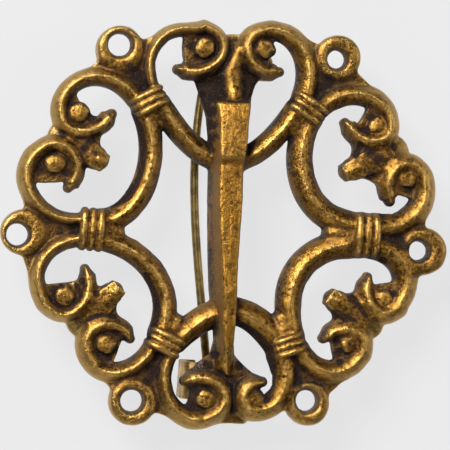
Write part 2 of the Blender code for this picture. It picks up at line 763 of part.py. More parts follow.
def build_bracket(finish):
    """One sheet, folded down into two ears, with the rivet's holes drilled through them."""
    left = EAR_LEFT_INNER - SHEET
    right = EAR_RIGHT_INNER + SHEET
    y0 = HINGE_Y - 2.0 * EAR_RADIUS
    y1 = HINGE_Y + 2.0 * EAR_RADIUS
    obj = add_object("hinge_bracket", ear_solid(left, right), finish)
    between = box(EAR_LEFT_INNER, EAR_RIGHT_INNER, y0, y1, -2.0 * BACK_Z, -TOUCH_GAP - SHEET)
    gap = add_object("cut_between_ears", between, helper=True)
    hole = bmesh.new()
    drill = (RIVET_RADIUS + HOLE_CLEARANCE) / math.cos(math.pi / 16)
    bmesh.ops.create_cone(hole, cap_ends=True, segments=16, radius1=drill, radius2=drill, depth=DRILL_LENGTH)
    bmesh.ops.rotate(hole, verts=hole.verts, matrix=Matrix.Rotation(math.pi / 2, 3, "Y"))
    bmesh.ops.translate(hole, verts=hole.verts, vec=(0.0, HINGE_Y, HINGE_Z))
    drilled = add_object("cut_hole", hole, helper=True)
    for cutter in (gap, drilled):
        boolean(obj, [cutter], "DIFFERENCE")
        apply_modifiers(obj)
    for helper in (gap, drilled):
        bpy.data.objects.remove(helper, do_unlink=True)
    obj.location.z = BACK_Z
    return obj


def catch_line():
    """Middle of the strip in side view, as (x, z), from its flange round to its lip."""
    half = CATCH_SHEET / 2.0
    top = -TOUCH_GAP - half
    bottom = -BACK_Z + half
    left = CATCH_LEFT_X + half
    points = [Vector((CATCH_FLANGE_X, top))]
    for i in range(5):
        angle = 90.0 + 90.0 * i / 4
        points.append(Vector((left + CATCH_BEND, top - CATCH_BEND)) + unit(angle) * CATCH_BEND)
    for i in range(5):
        angle = 180.0 + 90.0 * i / 4
        points.append(Vector((left + CATCH_BEND, bottom + CATCH_BEND)) + unit(angle) * CATCH_BEND)
    points.append(Vector((CATCH_LIP_X, bottom)))
    return points


def build_catch(finish):
    line = catch_line()
    half = CATCH_SHEET / 2.0
    rails = []
    for i, point in enumerate(line):
        along = (line[min(i + 1, len(line) - 1)] - line[max(i - 1, 0)]).normalized()
        normal = Vector((-along.y, along.x))
        rails.append((point + normal * half, point - normal * half))
    bm = bmesh.new()
    rings = []
    for outer, inner in rails:
        ring = []
        for place, y in ((outer, 0.0), (inner, 0.0), (inner, -CATCH_LENGTH), (outer, -CATCH_LENGTH)):
            ring.append(bm.verts.new((place.x, CATCH_TOP_Y + y, place.y)))
        rings.append(ring)
    for near, far in zip(rings, rings[1:]):
        for i in range(4):
            j = (i + 1) % 4
            bm.faces.new((near[i], near[j], far[j], far[i]))
    bm.faces.new(rings[0])
    bm.faces.new(reversed(rings[-1]))
    turn = Matrix.Rotation(math.radians(-CATCH_TURN), 3, "Z")
    centre = Vector((CATCH_LEFT_X, CATCH_TOP_Y, 0.0))
    bmesh.ops.rotate(bm, cent=centre, verts=bm.verts, matrix=turn)
    obj = add_object("catch", bm, finish)
    obj.location.z = BACK_Z
    return obj


def shade(obj, smooth):
    for polygon in obj.data.polygons:
        polygon.use_smooth = smooth


def main():
    clear_scene()
    cast = material("cast_brass", BRASS)
    sheet = material("sheet_brass", SHEET_BRASS)
    drawn = material("wire_brass", WIRE_BRASS)
    build_plate(cast)
    build_bracket(sheet)
    shade(build_rivet(drawn), True)
    shade(build_pin(drawn), True)
    build_catch(sheet)


main()
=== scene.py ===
"""Looks of an openwork cast brass fibula brooch with scrolls, lugs, a keel bow and a hinged wire pin.

The brooch lies on its back with its face up. The casting is worked out as one solid field from its
named centre lines and sections, the way a founder's pattern is built up from wax threads and pellets,
and is then turned into a mesh. Its wear follows from how open or how sheltered each place is, and its
dark patina, laid together with painted shade, also from listed places in the hollows and on the walls.
The crests carry a painted tan highlight and the outer rim a painted tan reflection. Lengths in the
tables and in the field are in millimetres, and every finished mesh is in metres.
"""

import logging
import math
from dataclasses import dataclass, field
from enum import Enum
from typing import Sequence

import bmesh
import bpy
import numpy as np
import openvdb
from mathutils import Matrix, Vector

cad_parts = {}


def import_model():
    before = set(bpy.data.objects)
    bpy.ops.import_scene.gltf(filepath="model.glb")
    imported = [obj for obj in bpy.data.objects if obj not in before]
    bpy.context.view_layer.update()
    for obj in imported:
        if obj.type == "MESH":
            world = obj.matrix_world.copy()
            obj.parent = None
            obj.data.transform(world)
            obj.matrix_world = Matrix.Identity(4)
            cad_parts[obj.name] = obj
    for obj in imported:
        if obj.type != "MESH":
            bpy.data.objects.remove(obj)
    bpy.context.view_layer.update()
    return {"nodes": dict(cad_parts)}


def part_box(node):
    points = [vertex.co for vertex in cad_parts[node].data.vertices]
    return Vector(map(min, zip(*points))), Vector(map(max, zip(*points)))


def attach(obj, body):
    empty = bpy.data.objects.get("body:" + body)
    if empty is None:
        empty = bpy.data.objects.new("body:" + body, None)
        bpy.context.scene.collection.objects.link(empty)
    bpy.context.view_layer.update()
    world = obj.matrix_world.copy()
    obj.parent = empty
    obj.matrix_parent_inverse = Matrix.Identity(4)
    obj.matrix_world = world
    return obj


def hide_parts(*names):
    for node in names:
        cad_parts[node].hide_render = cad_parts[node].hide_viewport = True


log = logging.getLogger("brooch")

MM = 0.001
Array = np.ndarray
Point = tuple[float, float]
Place = tuple[float, float, float]
Colour = tuple[float, float, float]
Span = tuple[float, float]


class Body(Enum):
    """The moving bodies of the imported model."""

    BROOCH = "brooch"
    PIN_ARM = "pin_arm"


class Slot(Enum):
    """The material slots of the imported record."""

    CAST = "cast_brass"
    SHEET = "sheet_brass"
    WIRE = "wire_brass"


class Trait(Enum):
    """Named values that the casting's mesh carries at each point, for its finish."""

    SHELTER = "shelter"
    GROOVE = "groove"
    DEPTH = "depth"
    RIM = "rim"
    WALL = "wall"
    # where dark patina is laid with painted shade, from listed places
    BLACK_PATINA_AND_SHADE = "soot"


# Small mathematics


def heading(x: float, y: float) -> float:
    """Heading of a direction, in degrees."""
    return math.degrees(math.atan2(y, x))


def unit(degrees: float) -> Array:
    """Unit direction of a heading in degrees."""
    angle = math.radians(degrees)
    return np.array((math.cos(angle), math.sin(angle)))


def smooth_step(values: Array, low: float, high: float) -> Array:
    """Eases values.

    Args:
        values: the values.
        low: where the result is still 0.
        high: where it has come to 1.

    Returns:
        One share for each value.
    """
    part = np.clip((values - low) / (high - low), 0.0, 1.0)
    return part * part * (3.0 - 2.0 * part)


def between_cells(grid: Array, base: Array, part: Array) -> Array:
    """Values of a grid at places between its cells. The grid wraps round at its ends.

    Args:
        grid: the values.
        base: the lower corner of each place's cell, as whole numbers.
        part: how far each place is past that corner, as a share of a cell.

    Returns:
        One value for each place.
    """
    total = np.zeros(len(base))
    for corner in range(8):
        step = np.array(((corner >> 2) & 1, (corner >> 1) & 1, corner & 1))
        index = (base + step) % np.array(grid.shape)
        share = np.prod(np.where(step == 1, part, 1.0 - part), axis=1)
        total += share * grid[index[:, 0], index[:, 1], index[:, 2]]
    return total


def lattice_noise(points: Array, cell: float, seed: int) -> Array:
    """Smooth noise between -1 and 1 on a random lattice.

    Args:
        points: places, one row each.
        cell: the spacing of the lattice, in the points' unit.
        seed: picks the lattice's values.

    Returns:
        One value for each place.
    """
    size = 61
    table = np.random.default_rng(seed).uniform(-1.0, 1.0, (size, size, size)).astype(np.float32)
    scaled = points / cell
    base = np.floor(scaled).astype(np.int64)
    part = scaled - base
    return between_cells(table, base, part * part * (3.0 - 2.0 * part))


# The casting's solid field


@dataclass(frozen=True)
class Form:
    """A section that stands on the back: upright to a share of its height, then domed.

    Power 2 gives an ellipse, less a keeled crest, more a flat top. Blend is the fillet to the rest.
    """

    wall: float
    power: float
    blend: float


@dataclass
class Window:
    """A rectangle of the field's grid: its slices, and the x and y of its columns."""

    rows: slice
    columns: slice
    x: Array
    y: Array


@dataclass
class SolidField:
    """A signed field on a regular grid, in millimetres. Metal is where it is negative."""

    pitch: float
    low: Place
    high: Place
    far: float = 4.0
    values: Array = field(init=False)
    axes: list[Array] = field(init=False)

    def __post_init__(self) -> None:
        """Makes the empty grid."""
        self.axes = [
            np.arange(a, b + self.pitch, self.pitch, dtype=np.float32)
            for a, b in zip(self.low, self.high)
        ]
        self.values = np.full([len(axis) for axis in self.axes], self.far, np.float32)

    @property
    def z(self) -> Array:
        """Heights of the grid's layers, ready to spread over its columns."""
        return self.axes[2][None, None, :]

    def window(self, points: Sequence[Point] | Array, margin: float) -> Window:
        """The columns near some points.

        Args:
            points: places in plan, one row each.
            margin: how far past them the window reaches.

        Returns:
            The window.
        """
        spots = np.asarray(points, float)
        slices = []
        for k in range(2):
            low, high = spots[:, k].min() - margin, spots[:, k].max() + margin
            start = int(np.clip((low - self.low[k]) / self.pitch, 0, len(self.axes[k]) - 1))
            stop = int(np.clip((high - self.low[k]) / self.pitch + 1, start + 1, len(self.axes[k])))
            slices.append(slice(start, stop))
        x, y = np.meshgrid(self.axes[0][slices[0]], self.axes[1][slices[1]], indexing="ij")
        return Window(slices[0], slices[1], x, y)

    def unite(self, window: Window, shape: Array, blend: float) -> None:
        """Adds a shape to the metal, with a fillet where they meet.

        Args:
            window: the columns that it may reach.
            shape: its own field over them.
            blend: about the fillet's size.
        """
        held = self.values[window.rows, window.columns]
        overlap = np.clip(blend - np.abs(held - shape), 0.0, None)
        self.values[window.rows, window.columns] = np.minimum(held, shape) - overlap**2 / (4.0 * blend)

    def cut(self, window: Window, shape: Array, blend: float) -> None:
        """Takes a shape out of the metal, with an eased edge.

        Args:
            window: the columns that it may reach.
            shape: its own field over them.
            blend: about how far the edge is eased.
        """
        held = self.values[window.rows, window.columns]
        overlap = np.clip(blend - np.abs(held + shape), 0.0, None)
        self.values[window.rows, window.columns] = np.maximum(held, -shape) + overlap**2 / (4.0 * blend)

    def section(self, across: Array, half: Array | float, height: Array | float, form: Form) -> Array:
        """A shape with a rounded section.

        Args:
            across: how far each column is from the section's middle.
            half: half width there.
            height: full height there.
            form: how the section rises.

        Returns:
            The field of that shape.
        """
        half, height = (np.broadcast_to(value, across.shape) for value in (half, height))
        dome = ((1.0 - form.wall) * height)[..., None]
        rise = np.clip(self.z - (form.wall * height)[..., None], 0.0, None) / dome
        span = (across / half)[..., None]
        reach = (span**form.power + rise**form.power) ** (1.0 / form.power) - 1.0
        return (reach * np.sqrt(half * (1.0 - form.wall) * height)[..., None]).astype(np.float32)

    def unite_strand(
        self, window: Window, line: Array, halves: Sequence[float], heights: Sequence[float], form: Form
    ) -> None:
        """Adds a strand along a line to the metal.

        Args:
            window: the columns that it may reach.
            line: points of its centre line, one row each.
            halves: half its width at each point.
            heights: its height at each point.
            form: its section.
        """
        carried = np.column_stack((halves, heights))
        away, (half, height) = nearest_on_line(window.x, window.y, line, carried)
        self.unite(window, self.section(away, half, height, form), form.blend)

    def unite_slab(self, window: Window, outline: Array, top: float, blend: float) -> None:
        """Adds a flat slab to the metal.

        Args:
            window: the columns that it may reach.
            outline: points round it, one row each.
            top: its height.
            blend: its fillet to the rest.
        """
        edge = distance_to_outline(window.x, window.y, outline)[..., None]
        self.unite(window, np.maximum(edge, self.z - top).astype(np.float32), blend)

    def blurred(self, radius: float) -> Array:
        """How much metal is round each place.

        Args:
            radius: about how far round it is counted.

        Returns:
            A share from 0 to 1 for each cell of the field.
        """
        share = np.clip(0.5 - self.values / self.pitch, 0.0, 1.0)
        cells = max(1, int(round(radius / self.pitch / 2.0)))
        for axis in range(3):
            for _ in range(3):
                share = box_blur(share, cells, axis)
        return share

    def sample(self, grid: Array, points: Array) -> Array:
        """Values of a grid like the field's own.

        Args:
            grid: one value for each cell of the field.
            points: places, one row each.

        Returns:
            One value for each place.
        """
        scaled = (points - np.array(self.low)) / self.pitch
        base = np.clip(np.floor(scaled).astype(np.int64), 0, np.array(grid.shape) - 2)
        return between_cells(grid, base, np.clip(scaled - base, 0.0, 1.0))

    def surface(self) -> tuple[Array, Array]:
        """The metal's skin.

        Returns:
            Its points in millimetres, and four-cornered faces that look outwards.
        """
        grid = openvdb.FloatGrid(self.far)
        grid.copyFromArray(np.clip(self.values, -self.far, self.far))
        points, _, faces = grid.convertToPolygons(0.0, 0.0)
        points = points * self.pitch + np.array(self.low)
        faces = faces.astype(np.int64)
        a, b, c = (points[faces[:, k]] for k in (0, 1, 2))
        if np.einsum("ij,ij->i", a, np.cross(b, c)).sum() < 0:
            faces = faces[:, ::-1]
        return points, faces


def box_blur(values: Array, cells: int, axis: int) -> Array:
    """Running mean along one axis, where the edges repeat.

    Args:
        values: the grid.
        cells: neighbours on each side that count.
        axis: the axis.

    Returns:
        A grid of the same shape.
    """
    pad = [(0, 0)] * values.ndim
    pad[axis] = (cells + 1, cells)
    running = np.cumsum(np.pad(values, pad, mode="edge"), axis=axis, dtype=np.float64)
    count = values.shape[axis]
    width = 2 * cells + 1
    after = np.take(running, range(width, width + count), axis=axis)
    before = np.take(running, range(0, count), axis=axis)
    return ((after - before) / width).astype(np.float32)


def nearest_on_line(x: Array, y: Array, line: Array, carried: Array) -> tuple[Array, Array]:
    """How far each column is from a line of points, and the line's values at its nearest place.

    Args:
        x: x of each column.
        y: y of each column.
        line: the points, one row each.
        carried: values at the points, one row each.

    Returns:
        The distances, and one layer for each carried value.
    """
    best = np.full(x.shape, np.inf)
    found = np.zeros((carried.shape[1],) + x.shape)
    for a, b, first, last in zip(line, line[1:], carried, carried[1:]):
        step = b - a
        length = max(float(step @ step), 1e-12)
        part = np.clip(((x - a[0]) * step[0] + (y - a[1]) * step[1]) / length, 0.0, 1.0)
        gap = (x - a[0] - part * step[0]) ** 2 + (y - a[1] - part * step[1]) ** 2
        nearer = gap < best
        best = np.where(nearer, gap, best)
        for k in range(carried.shape[1]):
            found[k] = np.where(nearer, first[k] + (last[k] - first[k]) * part, found[k])
    return np.sqrt(best), found


def distance_to_outline(x: Array, y: Array, outline: Array) -> Array:
    """Signed distance of each column to a closed outline.

    Args:
        x: x of each column.
        y: y of each column.
        outline: points round it, one row each.

    Returns:
        The distances, negative inside.
    """
    best = np.full(x.shape, np.inf)
    inside = np.zeros(x.shape, bool)
    for a, b in zip(outline, np.roll(outline, -1, axis=0)):
        step = b - a
        part = np.clip(((x - a[0]) * step[0] + (y - a[1]) * step[1]) / max(step @ step, 1e-12), 0.0, 1.0)
        best = np.minimum(best, (x - a[0] - part * step[0]) ** 2 + (y - a[1] - part * step[1]) ** 2)
        crosses = (a[1] > y) != (b[1] > y)
        rise = step[1] if abs(step[1]) > 1e-12 else 1e-12
        inside ^= crosses & (x < a[0] + (y - a[1]) / rise * step[0])
    return np.where(inside, -1.0, 1.0) * np.sqrt(best)


# The parts of the casting


@dataclass(frozen=True)
class Collar:
    """Three rounded hoops round the strands, where two scrolls and two arcs meet."""

    x: float
    y: float
    outward: float
    half_length: float
    half_width: float
    height: float = 3.45
    hoops: int = 3
    hoop_share: float = 0.49
    hoop_blend: float = 0.07
    core_depth: float = 0.6
    core_length: float = 1.05
    margin: float = 1.2
    form: Form = Form(0.45, 2.6, 0.35)

    @property
    def centre(self) -> Array:
        """Middle of the collar."""
        return np.array((self.x, self.y))

    @property
    def axis(self) -> Array:
        """Direction from the collar out to its lug."""
        return unit(self.outward)

    @property
    def across(self) -> Array:
        """Direction across the bundled strands."""
        axis = self.axis
        return np.array((-axis[1], axis[0]))

    def side_of(self, point: Array) -> float:
        """+1 or -1: on which side of the collar's axis a point lies."""
        return 1.0 if (point - self.centre) @ self.across > 0 else -1.0

    def cast(self, solid: SolidField) -> None:
        """Adds the collar's core and its hoops to the metal.

        Args:
            solid: the field that it joins.
        """
        reach = self.half_length + self.half_width
        window = solid.window([self.centre - reach, self.centre + reach], self.margin)
        along = (window.x - self.x) * self.axis[0] + (window.y - self.y) * self.axis[1]
        over = (window.x - self.x) * self.across[0] + (window.y - self.y) * self.across[1]
        envelope = solid.section(np.abs(over), self.half_width, self.height, self.form)
        ends = (np.abs(along) - self.half_length * self.core_length)[..., None]
        solid.unite(window, np.maximum(envelope + self.core_depth, ends), self.form.blend)
        pitch = 2.0 * self.half_length / self.hoops
        bead = pitch * self.hoop_share
        for k in range(self.hoops):
            place = (k - (self.hoops - 1) / 2.0) * pitch
            # no two hoops are quite as thick
            swell = bead * (1.0 + 0.08 * math.sin(3.1 * k + self.outward))
            off = (along - place)[..., None]
            ring = np.hypot(np.clip(envelope + swell, 0.0, None), off) - swell
            inner = np.maximum(envelope + swell, np.abs(off) - swell)
            solid.unite(window, np.where(envelope + swell > 0.0, ring, inner), self.hoop_blend)


@dataclass(frozen=True)
class Lug:
    """A pierced ear on the rim, with its hole a little off its middle."""

    x: float
    y: float
    radius: float
    hole_x: float
    hole_y: float
    hole_radius: float
    height: float = 2.35
    flare: float = 0.3
    flare_from: float = 0.55
    hole_blend: float = 0.2
    least_half: float = 0.3
    margin: float = 1.2
    hole_margin: float = 1.0
    form: Form = Form(0.5, 2.9, 0.6)

    @property
    def centre(self) -> Array:
        """Middle of the ear."""
        return np.array((self.x, self.y))

    def cast(self, solid: SolidField) -> None:
        """Adds the ear's rounded ring to the metal.

        Args:
            solid: the field that it joins.
        """
        window = solid.window([self.centre - self.radius, self.centre + self.radius], self.margin)
        outer = self.radius - np.hypot(window.x - self.x, window.y - self.y)
        inner = np.hypot(window.x - self.hole_x, window.y - self.hole_y) - self.hole_radius
        half = np.clip((outer + inner) / 2.0, self.least_half, None)
        ring = solid.section(np.abs(inner - outer) / 2.0, half, self.height, self.form)
        solid.unite(window, ring, self.form.blend)

    def pierce(self, solid: SolidField) -> None:
        """Opens the hole, a little wider at the face.

        Args:
            solid: the field that holds the lug.
        """
        window = solid.window([self.centre - self.radius, self.centre + self.radius], self.hole_margin)
        away = np.hypot(window.x - self.hole_x, window.y - self.hole_y)[..., None]
        flared = np.clip(solid.z - self.height * self.flare_from, 0.0, None)
        mouth = self.hole_radius + self.flare * flared
        solid.cut(window, (away - mouth).astype(np.float32), self.hole_blend)


@dataclass(frozen=True)
class Scroll:
    """One strand, wound round its eye from a collar to a leaf-shaped tip, with a low floor inside.

    Turns are in degrees from the strand's foot, and winding is 1 for anticlockwise, -1 for clockwise.
    Curl is the centre line's radius round the eye, power how fast it comes down to that, and belly how
    far it swells on the way. The floor starts at web_turn, and its open edge sags by web_sag.
    """

    eye_x: float
    eye_y: float
    winding: int
    curl: float
    power: float
    tip_x: float
    tip_y: float
    collar: Collar
    belly: float
    web_turn: float
    web_sag: float
    width: float
    start_width: float
    tip_width: float = 2.2
    point: float = 0.9
    point_width: float = 1.3
    drawn_width: float = 2.4
    height: float = 2.95
    web_height: float = 1.75
    eye_radius: float = 1.35
    eye_height: float = 2.5
    settle: float = 170.0
    swell: float = 130.0
    flare: float = 120.0
    flare_power: float = 2.5
    taper: float = 110.0
    taper_power: float = 1.5
    ease_in: float = 60.0
    fan: float = 90.0
    droop: float = 0.1
    droop_turn: float = 60.0
    tip_root: float = 0.45
    tip_drop: float = 0.85
    samples: int = 72
    floor_lead: float = 10.0
    margin: float = 2.6
    setback: float = 1.0
    offset: float = 1.2
    floor_blend: float = 0.3
    form: Form = Form(0.42, 1.5, 0.4)
    eye_form: Form = Form(0.65, 3.0, 0.16)

    @property
    def eye(self) -> Array:
        """Middle of the eye."""
        return np.array((self.eye_x, self.eye_y))

    @property
    def tip(self) -> Array:
        """End of the strand."""
        return np.array((self.tip_x, self.tip_y))

    @property
    def foot(self) -> Array:
        """Where the strand leaves its collar.

        Returns:
            The place.
        """
        side = self.collar.side_of(self.eye)
        along = self.collar.axis * self.setback
        return self.collar.centre + along + self.collar.across * side * self.offset

    @property
    def start(self) -> float:
        """Heading from the eye to the strand's foot."""
        away = self.foot - self.eye
        return heading(away[0], away[1])

    @property
    def turn(self) -> float:
        """How far the strand winds round its eye, in degrees.

        Returns:
            The turn, between 180 and 540.
        """
        away = self.tip - self.eye
        turn = (self.winding * (heading(away[0], away[1]) - self.start)) % 360.0
        return turn + 360.0 if turn < 180.0 else turn

    def radius(self, turn: float) -> float:
        """Distance from the eye after a turn: falling from the foot, steady, then out to the tip.

        Args:
            turn: degrees wound from the foot.

        Returns:
            The distance.
        """
        radius = self.curl
        if turn < self.settle:
            reach = float(np.hypot(*(self.foot - self.eye)))
            radius += (reach - self.curl) * ((self.settle - turn) / self.settle) ** self.power
        if turn < self.swell:
            radius += self.belly * math.sin(2.0 * math.pi * turn / self.swell)
        late = turn - (self.turn - self.flare)
        if late > 0.0:
            reach = float(np.hypot(*(self.tip - self.eye)))
            radius += (reach - self.curl) * (late / self.flare) ** self.flare_power
        # a strand that is wider than it was drawn keeps its outer edge
        ends = min(1.0, turn / self.ease_in) * min(1.0, max(0.0, (self.turn - turn) / self.taper))
        return radius - ends * (self.width - self.drawn_width) / 2.0

    def at(self, turn: float) -> Array:
        """Place of the centre line after a turn."""
        return self.eye + unit(self.start + self.winding * turn) * self.radius(turn)

    def edge(self, turn: float) -> Array:
        """A place near the strand's outer edge after a turn."""
        out = self.radius(turn) + self.width * 0.3
        return self.eye + unit(self.start + self.winding * turn) * out

    def half_width(self, turn: float) -> float:
        """Half the strand's width after a turn.

        Args:
            turn: degrees wound from the foot.

        Returns:
            Half the width there.
        """
        width = self.width
        if turn < self.fan:
            width = self.start_width + (self.width - self.start_width) * turn / self.fan
        late = turn - (self.turn - self.taper)
        if late > 0.0:
            width = self.width + (self.tip_width - self.width) * (late / self.taper) ** self.taper_power
        return width / 2.0

    def cast(self, solid: SolidField) -> None:
        """Adds the strand, its floor and its eye to the metal.

        Args:
            solid: the field that it joins.
        """
        line, halves, heights = self.strand()
        window = solid.window(line, self.margin)
        solid.unite_slab(window, self.floor_outline(), self.web_height, self.floor_blend)
        solid.unite_strand(window, line, halves, heights, self.form)
        away = np.hypot(window.x - self.eye_x, window.y - self.eye_y)
        angle = np.arctan2(window.y - self.eye_y, window.x - self.eye_x) + self.eye_x
        # the eyes are pressed pellets, so none is quite round
        radius = self.eye_radius * (1.0 + 0.07 * np.sin(2.0 * angle) + 0.03 * np.sin(5.0 * angle))
        eye = solid.section(away, radius, self.eye_height, self.eye_form)
        solid.unite(window, eye, self.eye_form.blend)

    def strand(self) -> tuple[Array, Array, Array]:
        """The strand's centre line, which ends in a short blunt point.

        Returns:
            Its points, and half the width and the height at each.
        """
        turns = np.linspace(0.0, self.turn, self.samples)
        line = np.array([self.at(t) for t in turns])
        halves = np.array([self.half_width(t) for t in turns])
        drooping = smooth_step(turns, self.turn - self.droop_turn, self.turn)
        heights = self.height * (1.0 - self.droop * drooping)
        ahead = (line[-1] - line[-3]) / np.hypot(*(line[-1] - line[-3]))
        back = self.point * self.tip_root
        root = line[-1] - ahead * back
        kept = np.hypot(*(line - root).T) > back
        kept[: len(line) // 2] = True
        line = np.vstack((line[kept], root, root + ahead * self.point))
        halves = np.append(halves[kept], (self.tip_width / 2.0, self.point_width / 2.0))
        return line, halves, np.append(heights[kept], (heights[-1], heights[-1] * self.tip_drop))

    def floor_outline(self) -> Array:
        """Outline of the floor inside the curl, closed by a sagging edge from the tip to the strand.

        Returns:
            Points round it, one row each.
        """
        span = np.linspace(self.web_turn, self.turn - self.floor_lead, 16)
        outline = [self.at(t) for t in span]
        first, last = outline[0], outline[-1]
        inward = self.eye - (first + last) / 2.0
        inward = inward / np.hypot(*inward)
        for part in (0.2, 0.4, 0.6, 0.8):
            sag = self.web_sag * 4.0 * part * (1.0 - part)
            outline.append(last + (first - last) * part + inward * sag)
        return np.array(outline)


@dataclass(frozen=True)
class Arc:
    """A strand that bows inwards from one collar to the next."""

    first: Collar
    last: Collar
    first_handle: float
    last_handle: float
    first_splay: float
    last_splay: float
    first_width: float
    last_width: float
    height: float = 2.9
    offset: float = 1.1
    setback: float = 0.8
    samples: int = 40
    margin: float = 2.4
    form: Form = Form(0.42, 1.45, 0.4)

    def end(self, collar: Collar, other: Collar, handle: float, splay: float) -> tuple[Array, Array]:
        """One end of the arc.

        Args:
            collar: the collar there.
            other: the collar at the other end.
            handle: length of the curve's handle.
            splay: how far the handle turns from the collar's axis, in degrees.

        Returns:
            The end, and the handle's end.
        """
        side = -collar.side_of(other.centre)
        start = collar.centre - collar.axis * self.setback + collar.across * -side * self.offset
        return start, start + unit(collar.outward + 180.0 + side * splay) * handle

    def line(self) -> Array:
        """Points of the centre line.

        Returns:
            The points, one row each.
        """
        a, b = self.end(self.first, self.last, self.first_handle, self.first_splay)
        d, c = self.end(self.last, self.first, self.last_handle, self.last_splay)
        t = np.linspace(0.0, 1.0, self.samples)[:, None]
        s = 1.0 - t
        return a * s**3 + b * 3.0 * s * s * t + c * 3.0 * s * t * t + d * t**3

    def cast(self, solid: SolidField) -> None:
        """Adds the arc to the metal.

        Args:
            solid: the field that it joins.
        """
        line = self.line()
        halves = np.linspace(self.first_width, self.last_width, len(line)) / 2.0
        heights = np.full(len(line), self.height)
        solid.unite_strand(solid.window(line, self.margin), line, halves, heights, self.form)


@dataclass(frozen=True)
class Neck:
    """The short stem inside a collar, before its two arcs part."""

    collar: Collar
    reach: float
    half_width: float = 1.9
    end_half_width: float = 0.9
    height: float = 2.75
    margin: float = 2.6
    form: Form = Form(0.4, 2.0, 0.5)

    def cast(self, solid: SolidField) -> None:
        """Adds the stem to the metal.

        Args:
            solid: the field that it joins.
        """
        places = (0.5, self.reach * 0.6, self.reach)
        line = np.array([self.collar.centre - self.collar.axis * place for place in places])
        halves = (self.half_width, self.half_width * 0.85, self.end_half_width)
        heights = (self.height, self.height, self.height * 0.9)
        solid.unite_strand(solid.window(line, self.margin), line, halves, heights, self.form)


@dataclass(frozen=True)
class Leaf:
    """The middle leaf of a palmette, between two scrolls.

    Stations are shares of the way from its root to its tip, and rise is its height at each.
    """

    tip_x: float
    tip_y: float
    first: Scroll
    last: Scroll
    half_width: float = 1.3
    base_half_width: float = 2.3
    tip_half_width: float = 0.8
    tip_setback: float = 0.55
    height: float = 2.6
    blade_height: float = 2.3
    blade_blend: float = 0.6
    web_height: float = 1.85
    web_blend: float = 0.5
    web_reach: float = 0.8
    web_middle: float = 0.86
    margin: float = 2.8
    stations: tuple[float, ...] = (0.0, 0.45, 0.72, 0.9, 1.0)
    rise: tuple[float, ...] = (0.75, 0.82, 0.95, 1.0, 0.92)
    form: Form = Form(0.5, 1.5, 0.3)

    def cast(self, solid: SolidField) -> None:
        """Adds the leaf's keeled rib and square-ended blade, and the palmette's floor, to the metal.

        Args:
            solid: the field that it joins.
        """
        tip = np.array((self.tip_x, self.tip_y))
        root = (self.first.eye + self.last.eye) / 2.0
        ahead = (tip - root) / np.hypot(*(tip - root))
        across = np.array((-ahead[1], ahead[0]))
        base, end = self.base_half_width, self.half_width
        line = root + (tip - root) * np.array(self.stations)[:, None]
        line[-2:] -= ahead * self.tip_setback
        halves = (base, base * 0.85, end * 1.05, end, self.tip_half_width)
        window = solid.window(line, self.margin)
        solid.unite_strand(window, line, halves, self.height * np.array(self.rise), self.form)
        wide, narrow, front = across * base * 0.8, across * end * 0.85, tip - ahead * 0.1
        blade = np.array((root - wide, front - narrow, front + narrow, root + wide))
        solid.unite_slab(window, blade, self.blade_height, self.blade_blend)
        pair = (self.first, self.last)
        low, high = (scroll.eye + (scroll.tip - scroll.eye) * self.web_reach for scroll in pair)
        middle = root + (line[-1] - root) * self.web_middle
        floor = np.array((self.first.eye, low, middle, high, self.last.eye))
        solid.unite_slab(window, floor, self.web_height, self.web_blend)


@dataclass(frozen=True)
class Bow:
    """The raised bow down the middle, as stations of a section that changes.

    A station holds y, the left and right edge of the foot, of the front facet, and the height.
    """

    stations: tuple[tuple[float, float, float, float, float, float], ...]
    shoulder: float = 0.3
    crown: float = 0.05
    edge: float = 0.3
    blend: float = 0.35
    steepness: float = 0.93
    margin: float = 1.4

    def cast(self, solid: SolidField) -> None:
        """Adds the bow to the metal.

        Args:
            solid: the field that it joins.
        """
        rows = np.array(self.stations)[::-1]
        span = [(rows[:, 1].min(), rows[0, 0]), (rows[:, 2].max(), rows[-1, 0])]
        window = solid.window(span, self.margin)
        spread = (np.interp(window.y, rows[:, 0], rows[:, k]) for k in range(1, 6))
        foot_left, foot_right, front_left, front_right, height = spread
        steep = np.abs(np.gradient(height, solid.pitch, axis=1))
        shoulder = (height * self.shoulder)[..., None]
        rise = np.clip((solid.z - shoulder) / (height[..., None] - shoulder), 0.0, 1.4)
        x = window.x[..., None]
        left = foot_left[..., None] + (front_left - foot_left)[..., None] * rise - x
        right = x - foot_right[..., None] - (front_right - foot_right)[..., None] * rise
        side = np.maximum(left, right) * self.steepness
        middle = (front_left + front_right) / 2.0
        crest = height - self.crown * np.abs(window.x - middle)
        top = (solid.z - crest[..., None]) / np.sqrt(1.0 + steep**2)[..., None]
        ends = np.maximum(window.y - rows[-1, 0], rows[0, 0] - window.y)[..., None]
        overlap = np.clip(self.edge - np.abs(side - top), 0.0, None)
        shape = np.maximum(np.maximum(side, top) + overlap**2 / (4.0 * self.edge), ends)
        solid.unite(window, shape.astype(np.float32), self.blend)


@dataclass(frozen=True)
class Rib:
    """A low rounded ridge along a few places, each with its half width and height."""

    places: tuple[tuple[float, float, float, float], ...]
    margin: float = 2.0
    form: Form = Form(0.4, 1.7, 0.5)

    def cast(self, solid: SolidField) -> None:
        """Adds the ridge to the metal.

        Args:
            solid: the field that it joins.
        """
        rows = np.array(self.places)
        window = solid.window(rows[:, :2], self.margin)
        solid.unite_strand(window, rows[:, :2], rows[:, 2], rows[:, 3], self.form)


